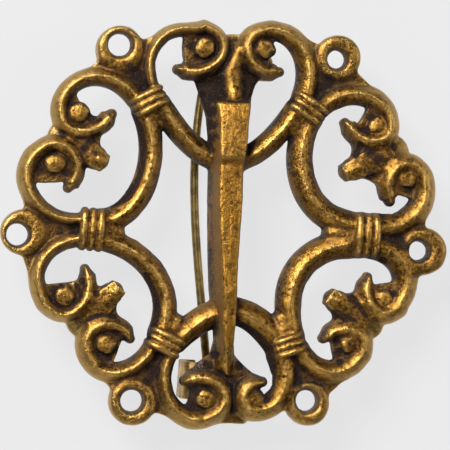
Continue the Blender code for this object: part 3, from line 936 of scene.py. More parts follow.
@dataclass(frozen=True)
class Plan:
    """All parts of the casting but its bow."""

    collars: dict[str, Collar]
    lugs: dict[str, Lug]
    scrolls: dict[str, Scroll]
    arcs: tuple[Arc, ...]
    leaves: tuple[Leaf, ...]
    necks: tuple[Neck, ...]
    web_near: float = 45.0
    web_far: float = 100.0
    web_spread: float = 0.85

    def web_outline(self, name: str) -> Array:
        """Outline of the flat web between a lug and its two scrolls.

        Args:
            name: the lug's name, which is also its collar's.

        Returns:
            Points round it, one row each.
        """
        collar, lug = self.collars[name], self.lugs[name]
        near = [scroll for scroll in self.scrolls.values() if scroll.collar is collar]
        near.sort(key=lambda scroll: collar.side_of(scroll.eye))
        outer = collar.centre + collar.axis * collar.half_length
        low, high = (
            lug.centre + collar.across * side * lug.radius * self.web_spread for side in (-1.0, 1.0)
        )
        first = (near[0].at(self.web_near), near[0].edge(self.web_far))
        last = (near[1].edge(self.web_far), near[1].at(self.web_near))
        return np.array((outer, *first, low, lug.centre, high, *last))


def layout() -> Plan:
    """The casting's own plan. It was made by hand, so each lobe has its own sizes, in millimetres.

    Returns:
        The plan.
    """
    # middle, heading, half length and half width
    collars = {
        "top_left": Collar(-9.9, 15.1, 118.0, 1.3, 2.35),
        "top_right": Collar(10.1, 14.7, 57.0, 1.3, 2.45),
        "right": Collar(17.9, -0.9, -3.0, 1.6, 2.8),
        "low_right": Collar(8.2, -14.8, -71.0, 1.3, 2.2),
        "low_left": Collar(-7.2, -14.7, -116.0, 1.3, 2.35),
        "left": Collar(-16.6, -0.9, 176.0, 1.5, 2.7),
    }
    # middle and radius of the ear, then of its hole
    lugs = {
        "top_left": Lug(-13.6, 21.35, 2.95, -13.6, 21.95, 1.35),
        "top_right": Lug(13.8, 21.2, 2.85, 13.6, 21.0, 1.15),
        "right": Lug(25.2, -2.75, 3.05, 24.65, -2.7, 1.15),
        "low_right": Lug(10.9, -22.05, 2.75, 10.75, -21.7, 1.3),
        "low_left": Lug(-11.05, -22.1, 2.95, -11.15, -21.95, 1.35),
        "left": Lug(-25.0, -1.45, 2.8, -25.7, -1.75, 1.3),
    }
    # eye, winding, curl, power, tip, collar, belly, web turn, web sag, and width in all and at the foot
    rows = {
        "top_a": (-3.1, 21.9, -1, 2.0, 2.1, -5.8, 19.1, "top_left", 0.6, 85, -0.5, 1.75, 1.7),
        "top_b": (4.4, 22.0, 1, 2.2, 2.2, 6.0, 19.2, "top_right", 0.0, 85, 1.3, 2.45, 3.0),
        "right_a": (19.0, 12.7, -1, 1.7, 2.3, 15.3, 12.7, "top_right", 0.0, 60, 0.4, 2.6, 2.8),
        "right_b": (22.9, 6.5, 1, 1.9, 2.0, 20.8, 3.9, "right", 0.15, 65, 0.2, 2.75, 3.4),
        "low_right_a": (20.4, -9.0, -1, 1.9, 2.1, 18.2, -6.6, "right", 0.35, 60, 0.0, 3.0, 3.5),
        "low_right_b": (16.2, -14.5, 1, 1.8, 1.8, 13.2, -13.6, "low_right", 0.2, 60, -0.2, 2.95, 2.9),
        "low_b": (4.2, -21.5, -1, 1.7, 2.6, 4.7, -19.5, "low_right", 0.0, 75, 0.4, 2.9, 3.4),
        "low_a": (-1.9, -21.6, 1, 2.3, 1.8, -4.1, -19.3, "low_left", 0.0, 85, 0.3, 2.6, 2.1),
        "low_left_b": (-14.6, -15.0, -1, 2.5, 1.8, -11.8, -13.9, "low_left", -0.1, 80, 0.0, 2.6, 2.1),
        "low_left_a": (-19.8, -9.2, 1, 2.1, 1.9, -17.1, -6.3, "left", 0.2, 85, 0.1, 2.05, 2.0),
        "left_b": (-21.3, 7.1, -1, 2.4, 1.6, -19.3, 4.6, "left", 0.0, 85, -0.2, 2.3, 1.6),
        "left_a": (-18.6, 13.4, 1, 2.1, 1.9, -14.7, 13.0, "top_left", 0.1, 85, 1.0, 2.2, 2.6),
    }
    scrolls = {name: Scroll(*row[:7], collars[row[7]], *row[8:]) for name, row in rows.items()}
    # collars, handles, splays and widths, each at the first end and at the last
    arc_rows = (
        ("top_left", "left", 6.7, 4.8, 2.0, 2.0, 2.9, 3.1),
        ("left", "low_left", 6.2, 5.8, 3.0, 4.0, 2.8, 2.9),
        ("low_left", "low_right", 7.3, 6.3, 20.0, 20.0, 3.1, 3.8),
        ("low_right", "right", 7.9, 6.1, 0.0, 3.0, 3.1, 3.7),
        ("right", "top_right", 8.1, 4.8, 0.0, 0.0, 3.5, 3.1),
        ("top_right", "top_left", 11.2, 10.5, 0.0, 5.0, 2.9, 2.8),
    )
    arcs = tuple(Arc(collars[first], collars[last], *sizes) for first, last, *sizes in arc_rows)
    tips = {
        "left": (-15.0, 7.1),
        "right": (14.7, 6.7),
        "low_right": (13.2, -8.5),
        "low_left": (-12.9, -7.8),
    }
    leaves = tuple(Leaf(*tip, scrolls[name + "_a"], scrolls[name + "_b"]) for name, tip in tips.items())
    # in the order of the collars
    reaches = (3.0, 3.2, 4.6, 3.4, 3.0, 3.2)
    necks = tuple(Neck(collar, reach) for collar, reach in zip(collars.values(), reaches))
    return Plan(collars, lugs, scrolls, arcs, leaves, necks)


# The bow's section from its head to its foot, as Bow describes it
BOW_STATIONS = (
    (23.7, -0.3, 1.9, 0.0, 1.6, 1.4),
    (22.0, -2.4, 3.6, -2.0, 3.2, 1.4),
    (19.0, -4.5, 4.6, -3.8, 4.0, 1.3),
    (17.5, -4.0, 3.6, -3.2, 3.0, 1.2),
    (15.9, -3.4, 3.1, -2.4, 2.5, 1.4),
    (15.0, -3.05, 2.95, -1.6, 2.3, 4.6),
    (13.4, -2.6, 2.75, -1.35, 2.25, 5.0),
    (11.0, -2.3, 2.55, -1.3, 2.05, 5.2),
    (8.4, -2.2, 2.35, -1.25, 1.75, 5.4),
    (7.6, -2.15, 2.2, -1.2, 1.6, 4.6),
    (3.0, -2.15, 2.1, -1.25, 1.55, 4.7),
    (-4.3, -1.95, 1.8, -0.7, 1.3, 4.6),
    (-8.0, -1.75, 1.65, -0.4, 1.25, 4.6),
    (-12.4, -1.15, 1.5, -0.3, 1.2, 4.2),
    (-14.4, -1.0, 1.45, -0.2, 1.1, 3.9),
    (-16.1, -1.4, 1.6, 0.0, 1.0, 3.3),
    (-17.3, -3.1, 2.8, -0.3, 1.2, 2.5),
    (-18.8, -4.1, 4.5, -1.4, 2.6, 1.5),
    (-21.0, -3.7, 4.6, -2.8, 3.6, 1.4),
    (-24.7, -1.2, 3.4, -0.6, 2.8, 1.6),
)


# Where dark patina lies, with painted shade in the hollows: x, y and reach of each place, in millimetres
PATINA_AND_SHADE_PLACES = (
    # the hollows on both sides of the bow's head, the step under it and its left flank
    (-3.2, 17.3, 1.5), (-2.6, 15.6, 1.5), (-3.0, 18.7, 0.9), (2.7, 17.9, 1.3), (2.7, 16.4, 1.3),
    (-1.6, 17.2, 1.3), (-1.0, 16.0, 1.0), (1.9, 15.6, 0.8),
    (0.2, 15.3, 0.8), (1.4, 15.4, 0.7), (-2.3, 14.0, 0.9), (-2.2, 12.3, 0.8), (-2.1, 10.8, 0.7),
    (-2.1, 9.2, 0.6), (2.7, 13.4, 0.7), (2.7, 11.8, 0.7), (1.9, 19.6, 0.6), (-1.0, 18.0, 0.6),
    # the hollows between the collars and their lugs
    (-11.5, 18.3, 1.1), (-10.6, 17.2, 0.9), (-12.4, 19.3, 0.6), (11.5, 17.2, 1.0), (12.5, 18.3, 1.1),
    (-20.6, -1.2, 0.7), (21.6, -1.2, 1.2), (22.6, -2.2, 1.0), (20.7, -2.0, 0.9),
    (9.0, -18.2, 1.1), (9.5, -19.4, 0.9), (10.3, -17.5, 0.7), (-8.7, -18.2, 1.2), (-9.4, -19.4, 0.8),
    # round the eyes
    (-4.9, 22.3, 0.9), (-4.1, 20.7, 0.5), (-1.6, 21.8, 0.6), (3.0, 22.6, 0.8), (5.4, 21.2, 0.8),
    (5.7, 22.5, 0.6), (-17.0, 12.9, 0.8), (-16.0, 12.4, 0.5), (-20.0, 13.2, 0.5), (-23.2, 6.3, 0.7),
    (-19.9, 6.0, 0.6), (-21.5, 5.4, 0.6), (-21.1, -8.4, 0.7), (-20.3, -8.0, 0.5), (-18.5, -9.7, 0.5),
    (-16.0, -13.6, 0.6), (-13.5, -15.6, 0.6), (-14.2, -16.6, 0.6), (-12.4, -14.3, 0.5), (-3.4, -20.6, 0.8),
    (-4.5, -21.6, 1.3), (-3.8, -22.6, 0.8), (5.0, -20.7, 1.0), (5.7, -21.8, 0.9), (2.7, -20.5, 0.6),
    (16.3, -12.8, 0.6), (17.8, -14.2, 0.7), (14.6, -15.6, 0.7), (14.2, -13.8, 0.5), (21.8, -9.9, 0.6),
    (19.1, -9.6, 0.6), (21.4, -8.2, 0.5), (17.3, 12.0, 0.9), (18.0, 14.0, 0.7), (20.6, 12.3, 0.6),
    (21.4, 6.9, 0.6), (23.0, 4.9, 0.7), (24.7, 6.3, 0.5), (21.9, 8.2, 0.5),
    # the roots of the palmettes and the outer creases between neighbouring scrolls
    (-17.0, 10.0, 0.7), (-17.8, 9.0, 0.7), (-16.5, 8.4, 0.6), (-17.6, -7.3, 0.6),
    (-16.0, -8.8, 0.5), (16.2, -8.9, 0.7), (15.5, -11.4, 0.8), (14.1, -11.0, 0.6),
    (18.0, 9.6, 0.9), (19.0, 8.6, 0.9), (18.2, 6.7, 0.7), (21.0, 10.2, 0.6), (14.3, -14.0, 0.6),
    (15.9, -12.8, 0.6), (14.7, -16.7, 0.6), (-13.4, -13.4, 0.7),
    # the foot of the bow
    (-0.9, -16.2, 0.7), (1.9, -15.9, 0.6), (-1.2, -13.2, 0.7), (1.9, -13.4, 0.7), (-1.7, -17.4, 0.7),
    (2.2, -17.4, 0.7), (0.7, -21.3, 0.5), (0.4, -19.8, 0.5),
    # beside the collars
    (-11.9, 16.6, 0.7), (-7.8, 13.6, 0.6), (-8.2, 16.3, 0.6), (8.0, 15.6, 0.7), (12.2, 13.5, 0.7),
    (-18.6, 1.9, 0.6), (-18.4, -3.8, 0.5), (19.8, 1.8, 0.6), (20.0, -3.9, 0.6), (-5.2, -15.8, 0.7),
    (-9.2, -14.0, 0.6), (10.4, -15.6, 0.6), (6.0, -15.2, 0.6),
)

# Trails of dark patina with painted shade: first along the arcs' flanks and beside the bow's foot, then
# round the leaves
PATINA_AND_SHADE_TRAILS = (
    (
        (-12.2, 13.4, 0.4), (-10.9, 11.9, 0.5), (-10.4, 9.6, 0.55), (-10.3, 7.4, 0.55),
        (-10.8, 5.2, 0.65), (-12.1, 3.2, 0.65), (-14.1, 2.2, 0.4),
    ),
    ((-9.8, -6.2, 0.35), (-8.6, -8.7, 0.45), (-8.2, -10.8, 0.5), (-8.5, -12.6, 0.5)),
    ((-6.2, -19.4, 0.5), (-6.0, -17.8, 0.6), (-5.0, -15.9, 0.5), (-3.4, -14.2, 0.4)),
    ((2.2, -12.3, 0.5), (3.9, -13.4, 0.6), (5.4, -14.8, 0.6), (6.3, -16.6, 0.7), (6.2, -19.2, 0.6)),
    ((-18.8, 10.3, 0.3), (-17.6, 10.4, 0.4), (-16.2, 10.9, 0.4)),
    ((-18.4, 8.4, 0.3), (-17.9, 7.2, 0.4), (-17.2, 6.0, 0.4)),
    ((16.4, 12.3, 0.4), (16.9, 10.6, 0.5), (16.2, 8.9, 0.4)),
    ((15.6, -8.6, 0.3), (16.9, -9.6, 0.4), (17.9, -10.9, 0.4)),
    ((14.0, -10.4, 0.4), (15.3, -11.2, 0.5), (16.6, -11.6, 0.3)),
    ((-18.4, -7.7, 0.3), (-17.7, -9.3, 0.4), (-18.0, -11.0, 0.3)),
    ((-16.9, -12.0, 0.4), (-15.4, -11.4, 0.4), (-13.6, -11.6, 0.4)),
)

# The low ribs down the middle of the bow's head and foot: x, y, half width and height
BOW_RIBS = (
    ((1.2, 21.6, 1.1, 2.4), (0.4, 19.0, 1.7, 2.3), (0.5, 17.2, 1.5, 2.5), (0.7, 15.4, 1.3, 3.0)),
    ((0.4, -15.5, 0.8, 3.4), (0.4, -17.2, 1.3, 2.9), (0.6, -18.3, 0.7, 2.4)),
)


# Shader expressions


class Expr:
    """A number from a shader socket, on which arithmetic adds Math nodes."""

    def __init__(self, tree: "Shader", socket: bpy.types.NodeSocket) -> None:
        """Wraps a socket of a shader tree."""
        self.tree = tree
        self.socket = socket

    def _math(self, operation: str, *terms: "Expr | float") -> "Expr":
        """The result of one Math node."""
        return self.tree.node("ShaderNodeMath", {"operation": operation}, dict(enumerate(terms)))

    def __add__(self, other: "Expr | float") -> "Expr":
        """Sum."""
        return self._math("ADD", self, other)

    __radd__ = __add__

    def __sub__(self, other: "Expr | float") -> "Expr":
        """Difference."""
        return self._math("SUBTRACT", self, other)

    def __rsub__(self, other: float) -> "Expr":
        """Difference, the other way round."""
        return self._math("SUBTRACT", other, self)

    def __mul__(self, other: "Expr | float") -> "Expr":
        """Product."""
        return self._math("MULTIPLY", self, other)

    __rmul__ = __mul__

    def step(self, low: float, high: float) -> "Expr":
        """Eases from 0 at low to 1 at high.

        Args:
            low: where the result is still 0.
            high: where it has come to 1.

        Returns:
            The eased number.
        """
        settings = {"interpolation_type": "SMOOTHSTEP", "clamp": True}
        inputs = {"Value": self, "From Min": low, "From Max": high}
        return self.tree.node("ShaderNodeMapRange", settings, inputs)

    def swing(self, size: float) -> "Expr":
        """Noise round 0.5 made to swing round 0, by a size."""
        return (self - 0.5) * size

    def most(self, other: "Expr | float") -> "Expr":
        """The larger of two."""
        return self._math("MAXIMUM", self, other)


class Shader:
    """A material's node tree, built by short calls."""

    def __init__(self, name: str) -> None:
        """Starts a material with a principled surface.

        Args:
            name: the material's name.
        """
        self.material = bpy.data.materials.new(name)
        self.material.use_nodes = True
        self.links = self.material.node_tree.links
        self.nodes = self.material.node_tree.nodes
        self.surface = self.nodes["Principled BSDF"]
        self.place = self.node("ShaderNodeTexCoord", {}, {}, "Object")

    def node(self, kind: str, settings: dict, inputs: dict, output: str | int = 0) -> Expr:
        """Adds a node.

        Args:
            kind: the node's type.
            settings: its properties, which are set first.
            inputs: values or expressions for its sockets, by name or number.
            output: the socket that is returned.

        Returns:
            The output as an expression.
        """
        made = self.nodes.new(kind)
        for name, value in settings.items():
            setattr(made, name, value)
        for key, value in inputs.items():
            self.feed(made.inputs[key], value)
        return Expr(self, made.outputs[output])

    def feed(self, socket: bpy.types.NodeSocket, value: "Expr | float | tuple") -> None:
        """Links an expression to a socket, or sets a plain value on it.

        Args:
            socket: the socket.
            value: an expression, a number or a colour.
        """
        if isinstance(value, Expr):
            self.links.new(value.socket, socket)
        elif socket.type == "RGBA" and len(value) == 3:
            socket.default_value = (*value, 1.0)
        else:
            socket.default_value = value

    def trait(self, trait: Trait) -> Expr:
        """A value that the mesh carries."""
        return self.node("ShaderNodeAttribute", {"attribute_name": trait.value}, {}, "Fac")

    def noise(self, size: float, detail: float = 3.0, rough: float = 0.55, warp: float = 0.0) -> Expr:
        """Cloudy noise.

        Args:
            size: about how large its lumps are, in millimetres.
            detail: how many finer layers it has.
            rough: how strong they are.
            warp: how far it is twisted.

        Returns:
            Values round 0.5.
        """
        inputs = {"Vector": self.place, "Scale": 1.0 / (size * MM), "Detail": detail}
        inputs |= {"Roughness": rough, "Distortion": warp}
        return self.node("ShaderNodeTexNoise", {}, inputs, "Fac")

    def cells(self, size: float) -> Expr:
        """Distance to scattered points about the size apart, in millimetres."""
        inputs = {"Vector": self.place, "Scale": 1.0 / (size * MM)}
        return self.node("ShaderNodeTexVoronoi", {"feature": "F1"}, inputs, "Distance")

    def mix(self, share: Expr | float, first: "Expr | tuple", last: "Expr | tuple") -> Expr:
        """A colour between two colours.

        Args:
            share: 0 for the first, 1 for the last.
            first: a colour.
            last: another colour.

        Returns:
            The mixed colour.
        """
        made = self.nodes.new("ShaderNodeMix")
        made.data_type = "RGBA"
        self.feed(made.inputs[0], share)
        self.feed(made.inputs[6], first)
        self.feed(made.inputs[7], last)
        return Expr(self, made.outputs[2])

    def bump(self, height: Expr, distance: float) -> Expr:
        """A normal from a height between 0 and 1, over a distance in millimetres."""
        inputs = {"Height": height, "Distance": distance * MM, "Strength": 1.0}
        return self.node("ShaderNodeBump", {}, inputs, "Normal")

    def dress(self, **sockets: "Expr | float | tuple") -> bpy.types.Material:
        """Sets the surface's sockets.

        Args:
            sockets: their values, by name with _ for a space.

        Returns:
            The finished material.
        """
        for name, value in sockets.items():
            self.feed(self.surface.inputs[name.replace("_", " ")], value)
        return self.material


@dataclass(frozen=True)
class WornCasting:
    """Old cast brass: golden where it is rubbed, brown between, near black where it is sheltered, as dark
    patina with painted shade; a painted tan highlight on the crests and a painted tan reflection on the
    rim.
    """

    gold: Colour = (0.47, 0.245, 0.04)
    amber: Colour = (0.40, 0.175, 0.02)
    orange: Colour = (0.44, 0.21, 0.032)
    bronze: Colour = (0.24, 0.122, 0.026)
    brown: Colour = (0.085, 0.042, 0.017)
    soot: Colour = (0.010, 0.007, 0.008)
    highlight_tan: Colour = (0.55, 0.355, 0.115)
    grey: Colour = (0.028, 0.022, 0.021)
    chalk: Colour = (0.24, 0.19, 0.155)

    def material(self) -> bpy.types.Material:
        """Builds the finish from the traits that the casting carries.

        Returns:
            The material.
        """
        s = Shader("worn_cast_brass")
        # what the mesh carries
        shelter = s.trait(Trait.SHELTER)
        groove = s.trait(Trait.GROOVE)
        rim = s.trait(Trait.RIM)
        wall = s.trait(Trait.WALL)
        soot = s.trait(Trait.BLACK_PATINA_AND_SHADE)
        # unevenness, from broad clouds to a fine grain and single pits
        cloud = s.noise(2.4, 3.0, 0.6, 0.3)
        blotch = s.noise(0.95, 4.0, 0.65, 0.5)
        mottle = s.noise(0.42, 4.0, 0.65, 0.4)
        grain = s.noise(0.17, 2.0, 0.6)
        pits = (1.0 - s.cells(0.55).step(0.06, 0.2)) * s.noise(1.3, 2.0).step(0.47, 0.6)
        # where the dark patina lies, laid with painted shade in the hollows and grooves, and where the
        # metal is rubbed
        # painted shade with the patina: the hollows and grooves turn near black
        hollow_patina_and_shade = (shelter + mottle.swing(0.25) + blotch.swing(0.25)).step(0.23, 0.38)
        groove_patina_and_shade = (groove + mottle.swing(0.3)).step(0.52, 0.64)
        depth = s.trait(Trait.DEPTH)
        high = depth.step(3.4, 3.9) * (1.0 - wall) * (1.0 - depth.step(4.75, 5.0) * 0.6)
        low = (1.0 - depth.step(2.2, 3.0)).most(wall * 0.9)
        # painted shade with the patina: near black at the listed places, where they are low or on a wall
        listed_patina_and_shade = (soot * low + mottle.swing(0.8) + blotch.swing(0.8) + grain.swing(0.7)).step(0.38, 0.72)
        worn = (0.455 - groove + mottle.swing(0.45)).step(0.0, 0.12)
        # the face: brown to bronze, with gold and amber where it is rubbed, a painted tan highlight on the
        # most convex crests and painted shade with the patina in the low floors
        tone = (cloud * 0.3 + blotch * 0.45 + mottle * 0.25).step(0.41, 0.59)
        colour = s.mix(tone, self.brown, self.bronze)
        colour = s.mix(worn * (blotch * 0.6 + grain * 0.4).step(0.36, 0.56), colour, self.gold)
        flecks = (mottle * 0.6 + grain * 0.4).step(0.52, 0.60)
        colour = s.mix(flecks * (0.85 - worn * 0.35), colour, self.amber)
        # painted highlight: tan on the most convex crests, over the wear
        colour = s.mix((0.37 - groove + blotch.swing(0.25)).step(0.0, 0.08) * 0.52, colour, self.highlight_tan)
        # painted shade with the patina: browner in the low floors between the strands
        colour = s.mix((1.0 - depth.step(1.9, 2.7)) * 0.52, colour, self.brown)
        colour = s.mix(depth.step(4.75, 5.0) * 0.45, colour, self.bronze)
        colour = s.mix(high * blotch.step(0.36, 0.5) * 0.85, colour, self.orange)
        # the walls of the openings are grey and grainy; the outer rim is tan, a painted reflection of the
        # pale surroundings
        side = s.mix(grain.step(0.52, 0.66), self.grey, self.chalk)
        side = s.mix((cloud.step(0.42, 0.6) * 0.6).most(depth.step(1.9, 3.2) * 0.75), side, self.bronze)
        colour = s.mix(wall * (1.0 - rim) * 0.92, colour, side)
        # painted reflection: the outer rim tan, where the pale surroundings shine in it
        colour = s.mix(rim * (0.3 + wall * 0.45), colour, self.highlight_tan)
        # the dark patina, with its painted shade, lies over it all
        dark_patina_and_shade = hollow_patina_and_shade.most(groove_patina_and_shade).most(listed_patina_and_shade).most(pits * 0.9)
        colour = s.mix(dark_patina_and_shade * 0.94, colour, s.mix(grain.step(0.56, 0.7), self.soot, self.brown))
        speckle = mottle.swing(0.5) + grain.swing(0.4)
        rough = 0.39 + dark_patina_and_shade * 0.2 + speckle + wall * (1.0 - rim) * 0.15 - worn * 0.04
        height = blotch * 0.4 + mottle * 0.38 + grain * 0.24 - pits * 0.6
        return s.dress(
            Base_Color=colour,
            Roughness=rough,
            Metallic=(1.0 - dark_patina_and_shade * 0.9) * (1.0 - wall * (1.0 - rim) * 0.5),
            Specular_IOR_Level=0.06,
            Normal=s.bump(height, 0.2),
        )


@dataclass(frozen=True)
class DullMetal:
    """Brass sheet or wire with a thin brown tarnish and a fine grain."""

    name: str
    bright: Colour
    dull: Colour
    roughness: float
    grain: float = 0.2

    def material(self) -> bpy.types.Material:
        """Builds the finish.

        Returns:
            The material.
        """
        s = Shader(self.name)
        cloud = s.noise(1.6, 4.0, 0.6)
        grain = s.noise(self.grain, 3.0, 0.6)
        pits = (1.0 - s.cells(0.6).step(0.06, 0.2)) * s.noise(1.1).step(0.5, 0.65)
        tarnish = (cloud * 0.7 + grain * 0.3).step(0.38, 0.62)
        colour = s.mix(tarnish, self.bright, self.dull)
        colour = s.mix(pits * 0.8, colour, (0.04, 0.03, 0.025))
        return s.dress(
            Base_Color=colour,
            Roughness=self.roughness + tarnish * 0.14 + pits * 0.2,
            Metallic=1.0 - pits * 0.4,
            Normal=s.bump(grain - pits * 0.8, 0.03),
        )


# Meshes


def new_object(
    name: str, mesh: bpy.types.Mesh, material: bpy.types.Material | None = None
) -> bpy.types.Object:
    """Puts a mesh in the scene.

    Args:
        name: the object's name.
        mesh: its mesh.
        material: its finish, or None to add one later.

    Returns:
        The object.
    """
    obj = bpy.data.objects.new(name, mesh)
    bpy.context.scene.collection.objects.link(obj)
    if material is not None:
        mesh.materials.clear()
        mesh.materials.append(material)
    return obj


def plain_mesh(obj: bpy.types.Object) -> bpy.types.Object:
    """Turns an object's modifiers into its own mesh.

    Args:
        obj: the object.

    Returns:
        The same object, with a plain mesh and no modifiers.
    """
    graph = bpy.context.evaluated_depsgraph_get()
    mesh = bpy.data.meshes.new_from_object(obj.evaluated_get(graph))
    obj.modifiers.clear()
    obj.data = mesh
    return obj


def shade_smooth(mesh: bpy.types.Mesh) -> None:
    """Shades every face smooth."""
    mesh.polygons.foreach_set("use_smooth", np.ones(len(mesh.polygons), bool))
    mesh.update()


@dataclass
class Casting:
    """The whole casting in one piece, with the traits that its finish reads.

    Spans say where a trait starts and where it is full. Unevenness holds lump sizes with their depths.
    """

    back: float
    pitch: float = 0.165
    low: Place = (-29.2, -27.2, -0.9)
    high: Place = (29.2, 27.4, 6.8)
    share_kept: float = 0.45
    crease: float = 55.0
    web_height: float = 1.8
    web_blend: float = 0.5
    web_margin: float = 1.4
    shelter_radius: float = 1.3
    shelter_reach: float = 0.75
    groove_radius: float = 0.6
    groove_reach: float = 0.1
    groove_rest: float = 0.45
    off_back: Span = (-0.8, -0.3)
    upright: Span = (0.35, 0.8)
    sloping: Span = (0.82, 0.97)
    over_floor: Span = (1.7, 2.3)
    off_edge: Span = (-2.4, -0.9)
    outwards: Span = (0.0, 0.5)
    off_floor: Span = (0.05, 0.5)
    sectors: int = 180
    trail_steps: int = 6
    patina_and_shade_fade: float = 0.7
    unevenness: tuple[Span, ...] = ((3.2, 0.09), (1.1, 0.055), (0.5, 0.026))
    seed: int = 7

    def solid(self) -> SolidField:
        """Works out the metal as a field.

        Returns:
            The field.
        """
        made = SolidField(self.pitch, self.low, self.high)
        plan = layout()
        for name in plan.lugs:
            outline = plan.web_outline(name)
            window = made.window(outline, self.web_margin)
            made.unite_slab(window, outline, self.web_height, self.web_blend)
        strands = (*plan.scrolls.values(), *plan.arcs, *plan.necks)
        for piece in (*strands, *plan.leaves, *plan.lugs.values()):
            piece.cast(made)
        Bow(BOW_STATIONS).cast(made)
        for rib in BOW_RIBS:
            Rib(rib).cast(made)
        for collar in plan.collars.values():
            collar.cast(made)
        for lug in plan.lugs.values():
            lug.pierce(made)
        made.values = np.maximum(made.values, -made.z)
        return made

    def black_patina_and_shade_at(self, points: Array) -> Array:
        """How much dark patina with painted shade the listed places lay on.

        Args:
            points: the mesh's points.

        Returns:
            A share from 0 to 1 for each point.
        """
        spots = [np.array(PATINA_AND_SHADE_PLACES)]
        for trail in PATINA_AND_SHADE_TRAILS:
            steps = np.linspace(0.0, len(trail) - 1.0, self.trail_steps * len(trail))
            rows = [np.interp(steps, range(len(trail)), row) for row in zip(*trail)]
            spots.append(np.column_stack(rows))
        soot = np.zeros(len(points))
        for x, y, size in np.vstack(spots):
            away = ((points[:, 0] - x) ** 2 + (points[:, 1] - y) ** 2) / size**2
            soot = np.maximum(soot, np.exp(-self.patina_and_shade_fade * away))
        return soot

    def rim_at(self, points: Array, normals: Array) -> Array:
        """How far places belong to the brooch's outermost edge.

        Args:
            points: the mesh's points.
            normals: the normal at each.

        Returns:
            A share from 0 to 1 for each point.
        """
        reach = np.hypot(points[:, 0], points[:, 1])
        angle = np.degrees(np.arctan2(points[:, 1], points[:, 0]))
        bins = np.floor((angle + 180.0) / (360.0 / self.sectors)).astype(int) % self.sectors
        outermost = np.zeros(self.sectors)
        np.maximum.at(outermost, bins, reach)
        outward = normals[:, 0] * points[:, 0] + normals[:, 1] * points[:, 1]
        outward = outward / np.maximum(reach, 1e-6)
        return smooth_step(reach - outermost[bins], *self.off_edge) * smooth_step(outward, *self.outwards)

    def traits(self, solid: SolidField, points: Array, normals: Array) -> dict[Trait, Array]:
        """Values for the finish.

        Args:
            solid: the metal's field.
            points: the mesh's points, in millimetres over the plate's back.
            normals: the normal at each.

        Returns:
            One value for each point, for each trait.
        """
        near, close = solid.blurred(self.shelter_radius), solid.blurred(self.groove_radius)
        shelter = solid.sample(near, points + normals * self.shelter_reach)
        groove = solid.sample(close, points + normals * self.groove_reach)
        # the flat back is plain, so shelter, groove and the listed patina with its painted shade count on
        # the face and the walls alone
        face = smooth_step(normals[:, 2], *self.off_back)
        flat = np.abs(normals[:, 2])
        low = 1.0 - smooth_step(points[:, 2], *self.over_floor)
        slope = (1.0 - smooth_step(flat, *self.sloping)) * low
        return {
            Trait.SHELTER: shelter * face,
            Trait.GROOVE: self.groove_rest + (groove - self.groove_rest) * face,
            Trait.DEPTH: points[:, 2],
            Trait.RIM: self.rim_at(points, normals),
            Trait.WALL: np.maximum(1.0 - smooth_step(flat, *self.upright), slope),
            Trait.BLACK_PATINA_AND_SHADE: self.black_patina_and_shade_at(points) * face,
        }

    def roughened(self, points: Array, normals: Array) -> Array:
        """Gives the skin its unevenness, which leaves the back flat.

        Args:
            points: the mesh's points.
            normals: the normal at each.

        Returns:
            The moved points.
        """
        lift = np.zeros(len(points))
        for k, (cell, depth) in enumerate(self.unevenness):
            lift += depth * lattice_noise(points, cell, self.seed + k)
        lift *= smooth_step(points[:, 2], *self.off_floor)
        return points + normals * lift[:, None]

    def build(self, material: bpy.types.Material) -> bpy.types.Object:
        """Makes the casting's mesh, thinned, roughened and dressed.

        Args:
            material: its finish.

        Returns:
            The casting.
        """
        solid = self.solid()
        points, faces = solid.surface()
        log.info("casting field: %d points, %d faces", len(points), len(faces))
        mesh = bpy.data.meshes.new("casting")
        mesh.from_pydata(points.tolist(), [], faces.tolist())
        obj = new_object("casting", mesh)
        thin = obj.modifiers.new("Thin", "DECIMATE")
        thin.ratio = self.share_kept
        plain_mesh(obj)
        mesh = obj.data
        points, normals = np.empty((2, len(mesh.vertices) * 3), np.float32)
        mesh.vertices.foreach_get("co", points)
        mesh.vertex_normals.foreach_get("vector", normals)
        points = points.reshape(-1, 3).astype(float)
        normals = normals.reshape(-1, 3).astype(float)
        traits = self.traits(solid, points, normals)
        points = self.roughened(points, normals)
        points[:, 2] += self.back / MM
        mesh.vertices.foreach_set("co", (points * MM).astype(np.float32).ravel())
        for trait, values in traits.items():
            layer = mesh.attributes.new(trait.value, "FLOAT", "POINT")
            layer.data.foreach_set("value", values.astype(np.float32))
        shade_smooth(mesh)
        mesh.set_sharp_from_angle(angle=math.radians(self.crease))
        mesh.materials.append(material)
        mesh.calc_loop_triangles()
        log.info("casting: %d triangles", len(mesh.loop_triangles))
        return obj


